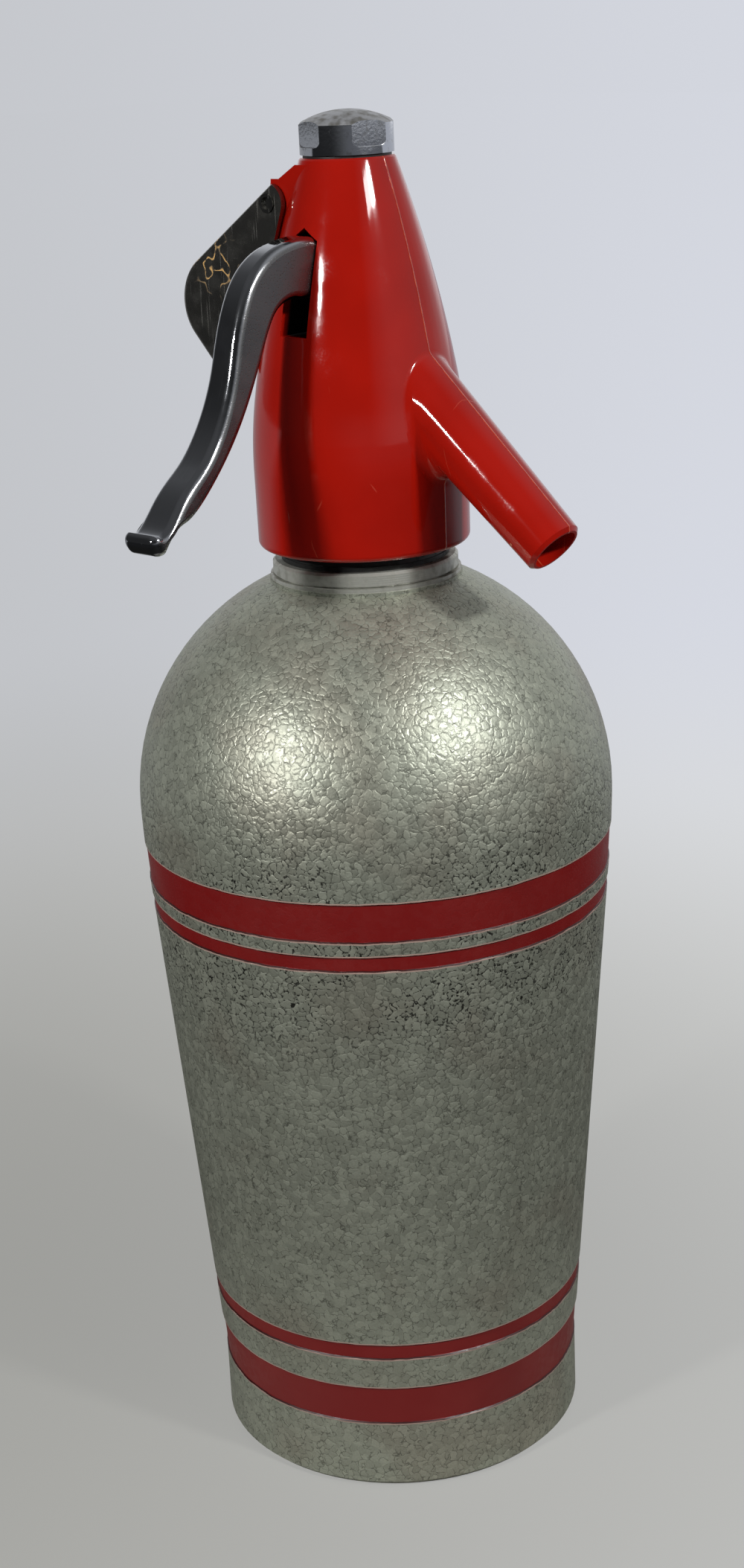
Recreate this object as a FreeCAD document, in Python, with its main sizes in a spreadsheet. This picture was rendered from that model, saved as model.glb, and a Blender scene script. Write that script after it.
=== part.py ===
import FreeCAD, Part
import math
import os
import re

import Sketcher

# Soda siphon: a painted aluminium bottle, a die-cast head that screws into its neck,
# a squeeze lever that lifts a spring-loaded valve, and a hinged hood that presses a
# gas charger into a sloping socket at the back of the head.
#
# Frame, in millimetres: origin at the centre of the bottle's base, +Z up, the spout
# towards +X, the squeeze lever towards -Y and the charger socket towards -X.
# HEAD is the level of the head's underside and TOP that of its top face. The valve,
# lever, spout, charger socket and hood hang from TOP, so their levels are negative.

Vector = FreeCAD.Vector
SHEET = "Sizes"
WORD = re.compile(r"[a-z][a-z_0-9]*")
FUNCTIONS = {"sin", "cos", "tan", "sqrt", "min"}

SIZES = [
    # Bottle: standing ring, conical body, round shoulder and collar.
    ("base_radius", 43.9),
    ("base_edge", 1.4),
    ("base_rise", 3.0),
    ("ring_foot", 4.0),
    ("base_skirt", 17.0),
    ("body_top_radius", 53.9),
    ("body_top_z", 141.0),
    ("belly_radius", 55.0),
    ("belly_curve", 250.0),
    ("shoulder_z", 161.8),
    ("collar_radius", 21.9),
    ("collar_rise", 0.8),
    ("mouth_radius", 19.0),
    ("bottle_wall", 1.8),
    # Four shallow rings round the body, each with its lower edge and its width.
    ("foot_band_z", 17.4),
    ("foot_band_width", 10.1),
    ("foot_line_z", 35.6),
    ("foot_line_width", 4.0),
    ("waist_line_z", 136.9),
    ("waist_line_width", 3.6),
    ("waist_band_z", 143.9),
    ("waist_band_width", 9.1),
    ("band_depth", 0.3),
    # Neck ring and gasket between bottle and head.
    ("neck_flange_radius", 21.0),
    ("neck_flange", 4.2),
    ("neck_edge", 0.6),
    ("neck_step_radius", 21.6),
    ("neck_step", 0.9),
    ("neck_groove", 0.4),
    ("neck_skirt", 12.5),
    ("neck_bore", 17.5),
    ("fit_gap", 0.2),
    ("press_gap", 0.02),
    ("cut_past", 1.0),
    ("gasket_radius", 19.0),
    ("gasket_top_radius", 18.2),
    ("gasket_rim", 1.0),
    ("gasket_height", 3.0),
    # Head casting, a turned cone over a threaded spigot.
    ("spigot_radius", 17.2),
    ("spigot_depth", 17.0),
    ("head_radius", 24.05),
    ("head_edge", 1.5),
    ("head_draft", 0.15),
    ("head_straight", 18.0),
    ("head_turn_radius", 22.9),
    ("head_turn_z", 33.2),
    ("head_turn_curve", 100.0),
    ("head_top_radius", 10.5),
    ("head_top_edge", 0.4),
    ("head_height", 84.2),
    ("head_cone_curve", 300.0),
    # Spout, cast with the head.
    ("spout_reach", 54.0),
    ("spout_drop", -80.2),
    ("spout_slope", 40.8),
    ("spout_tip_radius", 6.6),
    ("spout_root_radius", 8.5),
    ("spout_length", 56.0),
    ("spout_lip", 0.8),
    ("spout_bore", 5.2),
    ("spout_bore_depth", 24.0),
    ("spout_passage", 2.5),
    ("spout_root_fillet", 2.5),
    # Charger socket, a sloping tube at the back of the head.
    ("socket_tilt", 40.0),
    ("socket_out", 28.47),
    ("socket_rise", -29.52),
    ("socket_outer", 10.6),
    ("socket_bore", 9.25),
    ("socket_inside", 34.0),
    ("charger_body_depth", 36.5),
    ("charger_cone_depth", 46.5),
    ("charger_neck_bore", 5.2),
    ("holder_end_depth", 62.5),
    ("socket_relief", 2.5),
    # Charger seal, piercing pin and the screw that holds it; heights of the charger's
    # end and of the pin's point are above the end of the bore.
    ("charger_neck_end", 6.2),
    ("charger_seal", 1.4),
    ("charger_seal_hole", 2.2),
    ("pin_point_depth", 9.5),
    ("pin_point_length", 2.2),
    ("piercing_pin_radius", 0.9),
    # Gas way down to the bottle, from just above the end face of the charger bore.
    ("gas_way_out", 11.0),
    ("gas_way_radius", 1.6),
    ("gas_way_top", 1.3),
    ("nipple_radius", 2.4),
    ("nipple_seat", 7.0),
    ("nipple_flange_radius", 3.6),
    ("nipple_flange", 1.6),
    ("nipple_length", 9.0),
    ("nipple_stem", 1.7),
    ("nipple_bore", 0.8),
    ("sleeve_wall", 0.9),
    # Water way: dip tube, riser and cross drilling to the valve.
    ("riser_offset", 12.0),
    ("riser_radius", 2.2),
    ("tube_radius", 3.2),
    ("tube_bore", 2.2),
    ("tube_seat", 10.0),
    ("tube_floor_gap", 6.0),
    ("tube_seal_radius", 4.6),
    ("tube_seal", 1.5),
    ("tube_nut_radius", 5.0),
    ("tube_nut", 5.0),
    ("cross_z", -44.3),
    ("cross_radius", 1.5),
    # Valve on the axis of the head.
    ("valve_way", 2.2),
    ("valve_way_floor", -45.3),
    ("seat_floor", -42.7),
    ("seat_radius", 4.2),
    ("chamber_floor", -41.2),
    ("chamber_radius", 5.0),
    ("shaft_floor", -33.2),
    ("shaft_radius", 7.0),
    ("washer_radius", 4.0),
    ("washer_height", 2.4),
    ("valve_foot", 2.0),
    ("stem_radius", 1.9),
    ("stem_top", -5.2),
    ("collar_bottom", -17.6),
    ("collar_height", 2.4),
    ("stem_collar_radius", 5.2),
    ("bush_height", 3.2),
    ("packing_height", 1.5),
    ("gland_height", 2.3),
    ("running_gap", 0.1),
    ("seal_gap", 0.2),
    # Spring under the cap.
    ("spring_radius", 3.5),
    ("spring_wire", 0.5),
    ("spring_turns", 5.0),
    # Screw cap.
    ("cap_gasket", 0.6),
    ("cap_radius", 10.2),
    ("cap_side", 6.8),
    ("cap_dome", 2.3),
    ("cap_edge", 0.6),
    ("cap_boss_radius", 6.8),
    ("cap_boss_depth", 7.5),
    ("cap_bore", 5.0),
    ("cap_roof", 3.6),
    ("cap_flat_width", 8.6),
    ("cap_flat_height", 9.0),
    ("cap_flat_corner", 1.6),
    ("cap_flat_z", 1.6),
    ("cap_flat_depth", 0.9),
    ("cap_flat_turn", 73.0),
    ("cap_flats", 4),
    # Lever slot and pivot.
    ("slot_width", 7.6),
    ("slot_floor", -36.2),
    ("slot_shoulder", -16.4),
    ("slot_peak", -13.8),
    ("slot_inner", 7.2),
    ("window_inner", 5.0),
    ("pivot_out", 12.5),
    ("pivot_z", -20.7),
    ("pivot_radius", 1.6),
    ("pivot_open_side", 16.0),
    ("pivot_blind", 8.0),
    # Lever: root, bend, straight, sweep and tip of its centre line.
    ("lever_root_out", 15.0),
    ("lever_root_z", -21.7),
    ("lever_root_run", 6.0),
    ("lever_bend", 14.0),
    ("lever_drop_angle", 67.0),
    ("lever_drop_run", 12.8),
    ("lever_sweep", 56.0),
    ("lever_tip_angle", 34.0),
    ("lever_tip_run", 9.2),
    ("lever_root_width", 7.0),
    ("lever_drop_width", 7.4),
    ("lever_waist_width", 7.8),
    ("lever_tip_width", 10.0),
    ("lever_root_depth", 12.4),
    ("lever_drop_depth", 10.0),
    ("lever_waist_depth", 7.7),
    ("lever_blade_depth", 4.7),
    ("lever_tip_depth", 5.1),
    ("lever_corner", 1.9),
    ("lever_flare", 0.8),
    ("lever_overlap", 0.5),
    ("lever_end_round", 2.4),
    ("hub_radius", 5.0),
    ("arm_top", -17.9),
    ("arm_fall", 1.1),
    ("arm_bottom", -22.7),
    ("fork_reach", 4.6),
    ("fork_gap", 4.9),
    # Charger hood and its pin, drawn from the pin.
    ("hinge_out", 13.0),
    ("hinge_z", -9.2),
    ("hinge_eye", 5.0),
    ("hinge_pin_radius", 1.75),
    ("hinge_head_radius", 2.05),
    ("hinge_head", 0.3),
    ("hinge_recess_radius", 1.35),
    ("hinge_recess", 0.7),
    ("lug_side", 10.6),
    ("lug_top_out", 10.7),
    ("lug_root_out", 5.7),
    ("lug_root_z", -1.2),
    ("lug_foot_out", 19.6),
    ("lug_foot_z", -22.2),
    ("hood_sheet", 1.2),
    ("hood_side_gap", 0.35),
    ("hood_slope", 35.0),
    ("hood_lip_lean", 7.0),
    ("hood_offset", 2.8),
    ("hood_length", 39.2),
    ("hood_corner", 11.0),
    ("hood_lip", 23.0),
    ("hood_open_past", 5.0),
    ("hood_web_start", 6.3),
    ("hood_round", 1.1),
    ("cheek_eye", 4.2),
    ("cheek_eye_turn", 40.0),
    ("cheek_heel_x", 17.3),
    ("cheek_heel_y", 17.2),
    ("cheek_waist_x", 6.3),
    ("cheek_waist_y", 9.4),
]

# Levels worked out from the sizes, as expressions.
COLLAR_Z = "(shoulder_z + sqrt(belly_radius^2 - collar_radius^2))"
MOUTH_Z = f"({COLLAR_Z} + collar_rise)"
GASKET_Z = f"({MOUTH_Z} + neck_flange)"
HEAD = f"({GASKET_Z} + gasket_height)"
TOP = f"({HEAD} + head_height)"
STEM_COLLAR_TOP = "(collar_bottom + collar_height)"
SEAT_TOP = "chamber_floor"
HOOD_SIDE = "(lug_side + hood_side_gap)"
BORE_END_OUT = "(holder_end_depth * sin(socket_tilt) - socket_out)"
BORE_END_Z = "(head_height + socket_rise - holder_end_depth * cos(socket_tilt))"
GAS_TOP = f"({BORE_END_Z} + (gas_way_out - {BORE_END_OUT}) * tan(socket_tilt) + gas_way_top)"
CHARGER_END = "(holder_end_depth - charger_neck_end)"
PIN_POINT = "(holder_end_depth - pin_point_depth)"

document = FreeCAD.newDocument("SodaSiphon")
sheet = document.addObject("Spreadsheet::Sheet", SHEET)
pieces = []


def fill_sheet():
    """Write each size beside its name, with the name as the cell's alias."""
    for row, (alias, size) in enumerate(SIZES, start=1):
        sheet.set(f"A{row}", alias)
        sheet.set(f"B{row}", str(size))
        sheet.setAlias(f"B{row}", alias)
    document.recompute()


def bound(text):
    """Point every plain name in an expression at its cell in the sheet."""
    return WORD.sub(lambda word: word[0] if word[0] in FUNCTIONS else f"{SHEET}.{word[0]}", text)


def size(text):
    """Value of an expression, in millimetres or degrees."""
    return float(sheet.evalExpression(bound(text)))


def bind(target, path, text):
    """Tie one property of an object to an expression."""
    target.setExpression(path, bound(text))


def piece(label, x="0", y="0", z="0"):
    """Start a sub-part whose own origin lies at the given place."""
    body = document.addObject("PartDesign::Body", label)
    body.Label = label
    body.Placement = FreeCAD.Placement(Vector(size(x), size(y), size(z)), FreeCAD.Rotation())
    for axis, text in (("x", x), ("y", y), ("z", z)):
        bind(body, f"Placement.Base.{axis}", text)
    pieces.append(body)
    return body


def sketch_on(body, role, x="0", y="0", lift="0", turn="0", about=Vector(0, 0, 1)):
    """Sketch on one of the body's own planes, moved and turned within it."""
    plane = next(item for item in body.Origin.OriginFeatures if item.Role == role)
    sketch = body.newObject("Sketcher::SketchObject", f"{body.Label}_sketch")
    sketch.AttachmentSupport = [(plane, "")]
    sketch.MapMode = "FlatFace"
    place = Vector(size(x), size(y), size(lift))
    sketch.AttachmentOffset = FreeCAD.Placement(place, FreeCAD.Rotation(about, size(turn)))
    for axis, text in (("x", x), ("y", y), ("z", lift)):
        if text != "0":
            bind(sketch, f"AttachmentOffset.Base.{axis}", text)
    if turn != "0":
        bind(sketch, "AttachmentOffset.Rotation.Angle", turn)
    return sketch


def fix_point(sketch, edge, end, x, y):
    """Tie one end of an edge to a pair of expressions."""
    for kind, text in (("DistanceX", x), ("DistanceY", y)):
        rule = Sketcher.Constraint(kind, -1, 1, edge, end, size(text))
        bind(sketch, f"Constraints[{sketch.addConstraint(rule)}]", text)


def arc_edge(start, finish, radius, side):
    """Arc between two points; side is 1 when it bulges left of the way along it."""
    chord = finish - start
    left = Vector(-chord.y, chord.x, 0).normalize()
    rise = math.sqrt(max(radius**2 - (chord.Length / 2) ** 2, 0))
    centre = (start + finish) / 2 - left * rise * side
    ends = (finish, start) if side > 0 else (start, finish)
    angles = [math.atan2(point.y - centre.y, point.x - centre.x) for point in ends]
    circle = Part.Circle(centre, Vector(0, 0, 1), radius)
    return Part.ArcOfCircle(circle, angles[0], angles[1])


def outline(sketch, corners, arcs=None):
    """Close a loop through the corners, with each arc given as (radius, side)."""
    arcs = arcs or {}
    points = [Vector(size(x), size(y), 0) for x, y in corners]
    count = len(corners)
    edges = []
    for index, start in enumerate(points):
        finish = points[(index + 1) % count]
        if index in arcs:
            radius, side = arcs[index]
            edge = sketch.addGeometry(arc_edge(start, finish, size(radius), side), False)
            rule = Sketcher.Constraint("Radius", edge, size(radius))
            bind(sketch, f"Constraints[{sketch.addConstraint(rule)}]", radius)
            first, last = (2, 1) if side > 0 else (1, 2)
        else:
            edge = sketch.addGeometry(Part.LineSegment(start, finish), False)
            first, last = 1, 2
        edges.append((edge, first, last))
    for index, (edge, first, last) in enumerate(edges):
        following = edges[(index + 1) % count]
        sketch.addConstraint(
            Sketcher.Constraint("Coincident", edge, last, following[0], following[1])
        )
        fix_point(sketch, edge, first, corners[index][0], corners[index][1])


def round_hole(sketch, x, y, radius):
    """Draw a circle with a bound centre and radius."""
    centre = Vector(size(x), size(y), 0)
    edge = sketch.addGeometry(Part.Circle(centre, Vector(0, 0, 1), size(radius)), False)
    rule = Sketcher.Constraint("Radius", edge, size(radius))
    bind(sketch, f"Constraints[{sketch.addConstraint(rule)}]", radius)
    fix_point(sketch, edge, 3, x, y)


def turn_profile(body, sketch, cut=False):
    """Turn a sketch about its own vertical axis, adding or removing material."""
    document.recompute()
    kind = "PartDesign::Groove" if cut else "PartDesign::Revolution"
    before = body.Shape.Volume if cut else 0
    feature = body.newObject(kind, f"{body.Label}_{'groove' if cut else 'turning'}")
    feature.Profile = sketch
    feature.ReferenceAxis = (sketch, ["V_Axis"])
    feature.Angle = 360
    document.recompute()
    check_cut(body, before, cut)
    return feature


def push_profile(body, sketch, length, cut=False, both_ways=False, backwards=False):
    """Pad or pocket a sketch by a bound length."""
    document.recompute()
    kind = "PartDesign::Pocket" if cut else "PartDesign::Pad"
    before = body.Shape.Volume if cut else 0
    feature = body.newObject(kind, f"{body.Label}_{'pocket' if cut else 'pad'}")
    feature.Profile = sketch
    feature.Midplane = both_ways
    feature.Reversed = backwards
    bind(feature, "Length", length)
    document.recompute()
    check_cut(body, before, cut)
    return feature


def check_cut(body, before, cut):
    """Stop if a cut took nothing away."""
    if cut and body.Shape.Volume > before - 0.01:
        raise RuntimeError(f"{body.Label}: a cut removed nothing")


def round_edges(body, test, radius):
    """Fillet the edges of the body whose middle point passes the test."""
    base = body.Tip
    names = []
    for number, edge in enumerate(base.Shape.Edges, start=1):
        middle = edge.valueAt((edge.FirstParameter + edge.LastParameter) / 2)
        if test(middle, edge):
            names.append(f"Edge{number}")
    if not names:
        raise RuntimeError(f"{body.Label}: no edge to round")
    fillet = body.newObject("PartDesign::Fillet", f"{body.Label}_fillet")
    fillet.Base = (base, names)
    bind(fillet, "Radius", radius)
    document.recompute()
    return fillet


def washer(label, inner, outer, low, height, x="0", y="0", z=TOP):
    """Plain ring about a vertical axis."""
    body = piece(label, x, y, z)
    sketch = sketch_on(body, "XZ_Plane")
    top = f"{low} + {height}"
    outline(sketch, [(inner, low), (outer, low), (outer, top), (inner, top)])
    turn_profile(body, sketch)
    return body


def make_bottle():
    """Sheet-metal bottle with a raised base, round shoulder and rolled mouth."""
    body = piece("bottle")
    sketch = sketch_on(body, "XZ_Plane")
    inner_radius = "(belly_radius - bottle_wall)"
    throat_z = f"shoulder_z + sqrt({inner_radius}^2 - mouth_radius^2)"
    corners = [
        ("0", "base_rise"),
        ("base_radius - base_edge - ring_foot - base_rise", "base_rise"),
        ("base_radius - base_edge - ring_foot", "0"),
        ("base_radius - base_edge", "0"),
        ("base_radius", "base_edge"),
        ("base_radius", "base_skirt"),
        ("body_top_radius", "body_top_z"),
        ("belly_radius", "shoulder_z"),
        ("collar_radius", COLLAR_Z),
        ("collar_radius", MOUTH_Z),
        ("mouth_radius", MOUTH_Z),
        ("mouth_radius", throat_z),
        ("belly_radius - bottle_wall", "shoulder_z"),
        ("body_top_radius - bottle_wall", "body_top_z"),
        ("base_radius - bottle_wall", "base_skirt"),
        ("base_radius - bottle_wall", "base_rise + bottle_wall"),
        ("0", "base_rise + bottle_wall"),
    ]
    arcs = {
        6: ("belly_curve", -1),
        7: ("belly_radius", -1),
        11: (inner_radius, 1),
        12: ("belly_curve - bottle_wall", 1),
    }
    outline(sketch, corners, arcs)
    turn_profile(body, sketch)
    sink_bands(body)


def cone_radius(level):
    """Radius of the bottle's straight body at a level."""
    slope = "(body_top_radius - base_radius) / (body_top_z - base_skirt)"
    return f"(base_radius + {slope} * ({level} - base_skirt))"


def belly_radius_at(level):
    """Radius of the bottle's curved belly at a level."""
    rise = "(shoulder_z - body_top_z)"
    spread = "(belly_radius - body_top_radius)"
    chord = f"sqrt({rise}^2 + {spread}^2)"
    reach = f"sqrt(belly_curve^2 - {chord}^2 / 4)"
    centre_out = f"((belly_radius + body_top_radius) / 2 - {reach} * {rise} / {chord})"
    centre_z = f"((shoulder_z + body_top_z) / 2 + {reach} * {spread} / {chord})"
    return f"({centre_out} + sqrt(belly_curve^2 - ({level} - {centre_z})^2))"


def sink_bands(body):
    """Press four shallow rings with sloping edges into the body."""
    rings = [
        ("foot_band_z", "foot_band_width", cone_radius),
        ("foot_line_z", "foot_line_width", cone_radius),
        ("waist_line_z", "waist_line_width", cone_radius),
        ("waist_band_z", "waist_band_width", belly_radius_at),
    ]
    sketch = sketch_on(body, "XZ_Plane")
    for low, width, radius in rings:
        high = f"({low} + {width})"
        corners = []
        for level, way in ((low, 1), (high, -1)):
            inner = f"({level} + {way} * band_depth)"
            outer = f"({level} - {way} * band_depth)"
            ends = [(f"{radius(outer)} + band_depth", outer), (f"{radius(inner)} - band_depth", inner)]
            corners += ends[::way]
        outline(sketch, corners)
    turn_profile(body, sketch, cut=True)


def make_neck_ring():
    """Threaded collar pressed into the bottle's mouth: step, groove and bright flange."""
    body = piece("neck_ring", z=MOUTH_Z)
    sketch = sketch_on(body, "XZ_Plane")
    skirt = "(mouth_radius - fit_gap / 2)"
    corners = [
        ("neck_bore", "-neck_skirt"),
        (skirt, "-neck_skirt"),
        (skirt, "0"),
        ("neck_step_radius", "0"),
        ("neck_step_radius", "neck_step"),
        ("neck_flange_radius - neck_edge", "neck_step"),
        ("neck_flange_radius - neck_edge", "neck_step + neck_groove"),
        ("neck_flange_radius", "neck_step + neck_groove"),
        ("neck_flange_radius", "neck_flange - neck_edge"),
        ("neck_flange_radius - neck_edge", "neck_flange"),
        ("neck_bore", "neck_flange"),
    ]
    outline(sketch, corners)
    turn_profile(body, sketch)


def make_neck_gasket():
    """Black rubber gasket between neck ring and head, tapered above a rim."""
    body = piece("neck_gasket", z=GASKET_Z)
    sketch = sketch_on(body, "XZ_Plane")
    corners = [
        ("spigot_radius + fit_gap", "0"),
        ("gasket_radius", "0"),
        ("gasket_radius", "gasket_rim"),
        ("gasket_top_radius + gasket_rim / 2", "gasket_rim"),
        ("gasket_top_radius", "gasket_height"),
        ("spigot_radius + fit_gap", "gasket_height"),
    ]
    outline(sketch, corners)
    turn_profile(body, sketch)


def cast_head_shell(body):
    """Cone of the head with the threaded spigot below it."""
    sketch = sketch_on(body, "XZ_Plane")
    corners = [
        ("0", "-spigot_depth"),
        ("spigot_radius", "-spigot_depth"),
        ("spigot_radius", "0"),
        ("head_radius - head_draft - head_edge", "0"),
        ("head_radius - head_draft", "head_edge"),
        ("head_radius", "head_straight"),
        ("head_turn_radius", "head_turn_z"),
        ("head_top_radius", "head_height - head_top_edge"),
        ("head_top_radius - head_top_edge", "head_height"),
        ("0", "head_height"),
    ]
    arcs = {
        3: ("head_edge", -1),
        5: ("head_turn_curve", -1),
        6: ("head_cone_curve", -1),
    }
    outline(sketch, corners, arcs)
    turn_profile(body, sketch)


def spout_sketch(body):
    """Sketch whose vertical axis is the spout's, pointing out of the mouth."""
    level = "head_height + spout_drop"
    return sketch_on(body, "XZ_Plane", "spout_reach", level, "0", "-90 - spout_slope")


def socket_sketch(body, rise="head_height + socket_rise"):
    """Sketch whose vertical axis is the socket's, pointing out of the mouth."""
    return sketch_on(body, "XZ_Plane", "-socket_out", rise, "0", "socket_tilt")


def cast_spout(body):
    """Tapered spout from the head's axis out through the cone, with a soft lip."""
    sketch = spout_sketch(body)
    axis_end = "-spout_reach / cos(spout_slope)"
    corners = [
        ("0", axis_end),
        ("spout_root_radius", axis_end),
        ("spout_root_radius", "-spout_length"),
        ("spout_tip_radius", "-spout_lip"),
        ("spout_tip_radius - spout_lip", "0"),
        ("0", "0"),
    ]
    outline(sketch, corners)
    turn_profile(body, sketch)


def blend_spout_root(body):
    """Round the inner corner where the spout grows out of the cone."""
    skin = size("head_radius")
    half = size("spout_root_radius")
    slope = math.radians(size("spout_slope"))
    tip = Vector(size("spout_reach"), 0, size("head_height + spout_drop"))
    along = Vector(-math.cos(slope), 0, math.sin(slope))

    def on_root(point, edge):
        offset = point - tip
        off_axis = offset - along * offset.dot(along)
        inside = math.hypot(point.x, point.y) < skin + 0.01
        return inside and point.x > 0 and 0.7 * half < off_axis.Length < half + 0.01

    round_edges(body, on_root, "spout_root_fillet")


def cast_socket(body):
    """Sloping tube for the charger, and the lug that carries the hood."""
    sketch = socket_sketch(body)
    corners = [
        ("0", "-socket_inside"),
        ("socket_outer", "-socket_inside"),
        ("socket_outer", "0"),
        ("0", "0"),
    ]
    outline(sketch, corners)
    turn_profile(body, sketch)
    lug = sketch_on(body, "XZ_Plane", y="head_height")
    corners = [
        ("0", "lug_foot_z"),
        ("0", "lug_root_z"),
        ("-lug_root_out", "lug_root_z"),
        ("-lug_top_out", "hinge_z + hinge_eye"),
        ("-hinge_out", "hinge_z + hinge_eye"),
        ("-hinge_out - hinge_eye", "hinge_z"),
        ("-lug_foot_out", "lug_foot_z"),
    ]
    outline(lug, corners, {4: ("hinge_eye", 1)})
    push_profile(body, lug, "2 * lug_side", both_ways=True)


def bore_valve_shaft(body):
    """Stepped bore on the axis: cap thread, gland, chamber, seat and water way."""
    sketch = sketch_on(body, "XZ_Plane", y="head_height")
    corners = [
        ("0", "valve_way_floor"),
        ("valve_way", "valve_way_floor"),
        ("valve_way", "seat_floor"),
        ("seat_radius", "seat_floor"),
        ("seat_radius", "chamber_floor"),
        ("chamber_radius", "chamber_floor"),
        ("chamber_radius", "shaft_floor"),
        ("shaft_radius", "shaft_floor"),
        ("shaft_radius", "cut_past"),
        ("0", "cut_past"),
    ]
    outline(sketch, corners)
    turn_profile(body, sketch, cut=True)


def bore_spout(body):
    """Wide mouth of the spout and the narrow way in from the chamber."""
    sketch = spout_sketch(body)
    passage_end = "-(spout_reach - chamber_radius / 2) / cos(spout_slope)"
    corners = [
        ("0", passage_end),
        ("spout_passage", passage_end),
        ("spout_passage", "-spout_bore_depth"),
        ("spout_bore", "-spout_bore_depth + spout_bore - spout_passage"),
        ("spout_bore", "cut_past"),
        ("0", "cut_past"),
    ]
    outline(sketch, corners)
    turn_profile(body, sketch, cut=True)


def bore_socket(body):
    """Charger bore, its conical shoulder, the neck bore and the screw pocket."""
    sketch = socket_sketch(body)
    corners = [
        ("0", "-holder_end_depth"),
        ("charger_neck_bore", "-holder_end_depth"),
        ("charger_neck_bore", "-charger_cone_depth"),
        ("socket_bore", "-charger_body_depth"),
        ("socket_bore", "socket_relief"),
        ("0", "socket_relief"),
    ]
    outline(sketch, corners)
    turn_profile(body, sketch, cut=True)


def drill_ways(body):
    """Water riser with its cross drilling, and the gas way with its seat."""
    riser = sketch_on(body, "YZ_Plane", x="riser_offset")
    corners = [
        ("0", "-spigot_depth - cut_past"),
        ("tube_radius + running_gap / 2", "-spigot_depth - cut_past"),
        ("tube_radius + running_gap / 2", "-spigot_depth + tube_seat"),
        ("riser_radius", "-spigot_depth + tube_seat"),
        ("riser_radius", "head_height + cross_z + riser_radius"),
        ("0", "head_height + cross_z + riser_radius"),
    ]
    outline(riser, corners)
    turn_profile(body, riser, cut=True)
    cross = sketch_on(body, "XZ_Plane", y="head_height")
    round_hole(cross, "0", "cross_z", "cross_radius")
    push_profile(body, cross, "riser_offset", cut=True)
    gas = sketch_on(body, "XZ_Plane", x="gas_way_out")
    corners = [
        ("0", "-spigot_depth - cut_past"),
        ("nipple_radius + running_gap / 2", "-spigot_depth - cut_past"),
        ("nipple_radius + running_gap / 2", "-spigot_depth + nipple_seat"),
        ("gas_way_radius", "-spigot_depth + nipple_seat"),
        ("gas_way_radius", GAS_TOP),
        ("0", GAS_TOP),
    ]
    outline(gas, corners)
    turn_profile(body, gas, cut=True)


def cut_lever_slot(body):
    """Slot with a peaked top, its window to the shaft, and the blind pivot hole."""
    window_floor = "shaft_floor + bush_height + packing_height + gland_height"
    for inner, floor in (("slot_inner", "slot_floor"), ("window_inner", window_floor)):
        slot = sketch_on(body, "XZ_Plane", y="head_height", lift=inner)
        corners = [
            ("-slot_width / 2", floor),
            ("slot_width / 2", floor),
            ("slot_width / 2", "slot_shoulder"),
            ("0", "slot_peak"),
            ("-slot_width / 2", "slot_shoulder"),
        ]
        outline(slot, corners)
        push_profile(body, slot, "head_radius", cut=True, backwards=True)
    pivot = sketch_on(body, "YZ_Plane", y="head_height", lift="pivot_blind")
    round_hole(pivot, "-pivot_out", "pivot_z", "pivot_radius")
    push_profile(body, pivot, "pivot_blind + pivot_open_side", cut=True)


def make_head_housing():
    """Die-cast head with spout, charger socket, hood lug and all its bores."""
    body = piece("head_housing", z=HEAD)
    cast_head_shell(body)
    cast_socket(body)
    cast_spout(body)
    cut_lever_slot(body)
    blend_spout_root(body)
    bore_valve_shaft(body)
    bore_spout(body)
    bore_socket(body)
    drill_ways(body)
    hinge = sketch_on(body, "XZ_Plane", y="head_height")
    round_hole(hinge, "-hinge_out", "hinge_z", "hinge_pin_radius")
    push_profile(body, hinge, "4 * lug_side", cut=True, both_ways=True)


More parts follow.
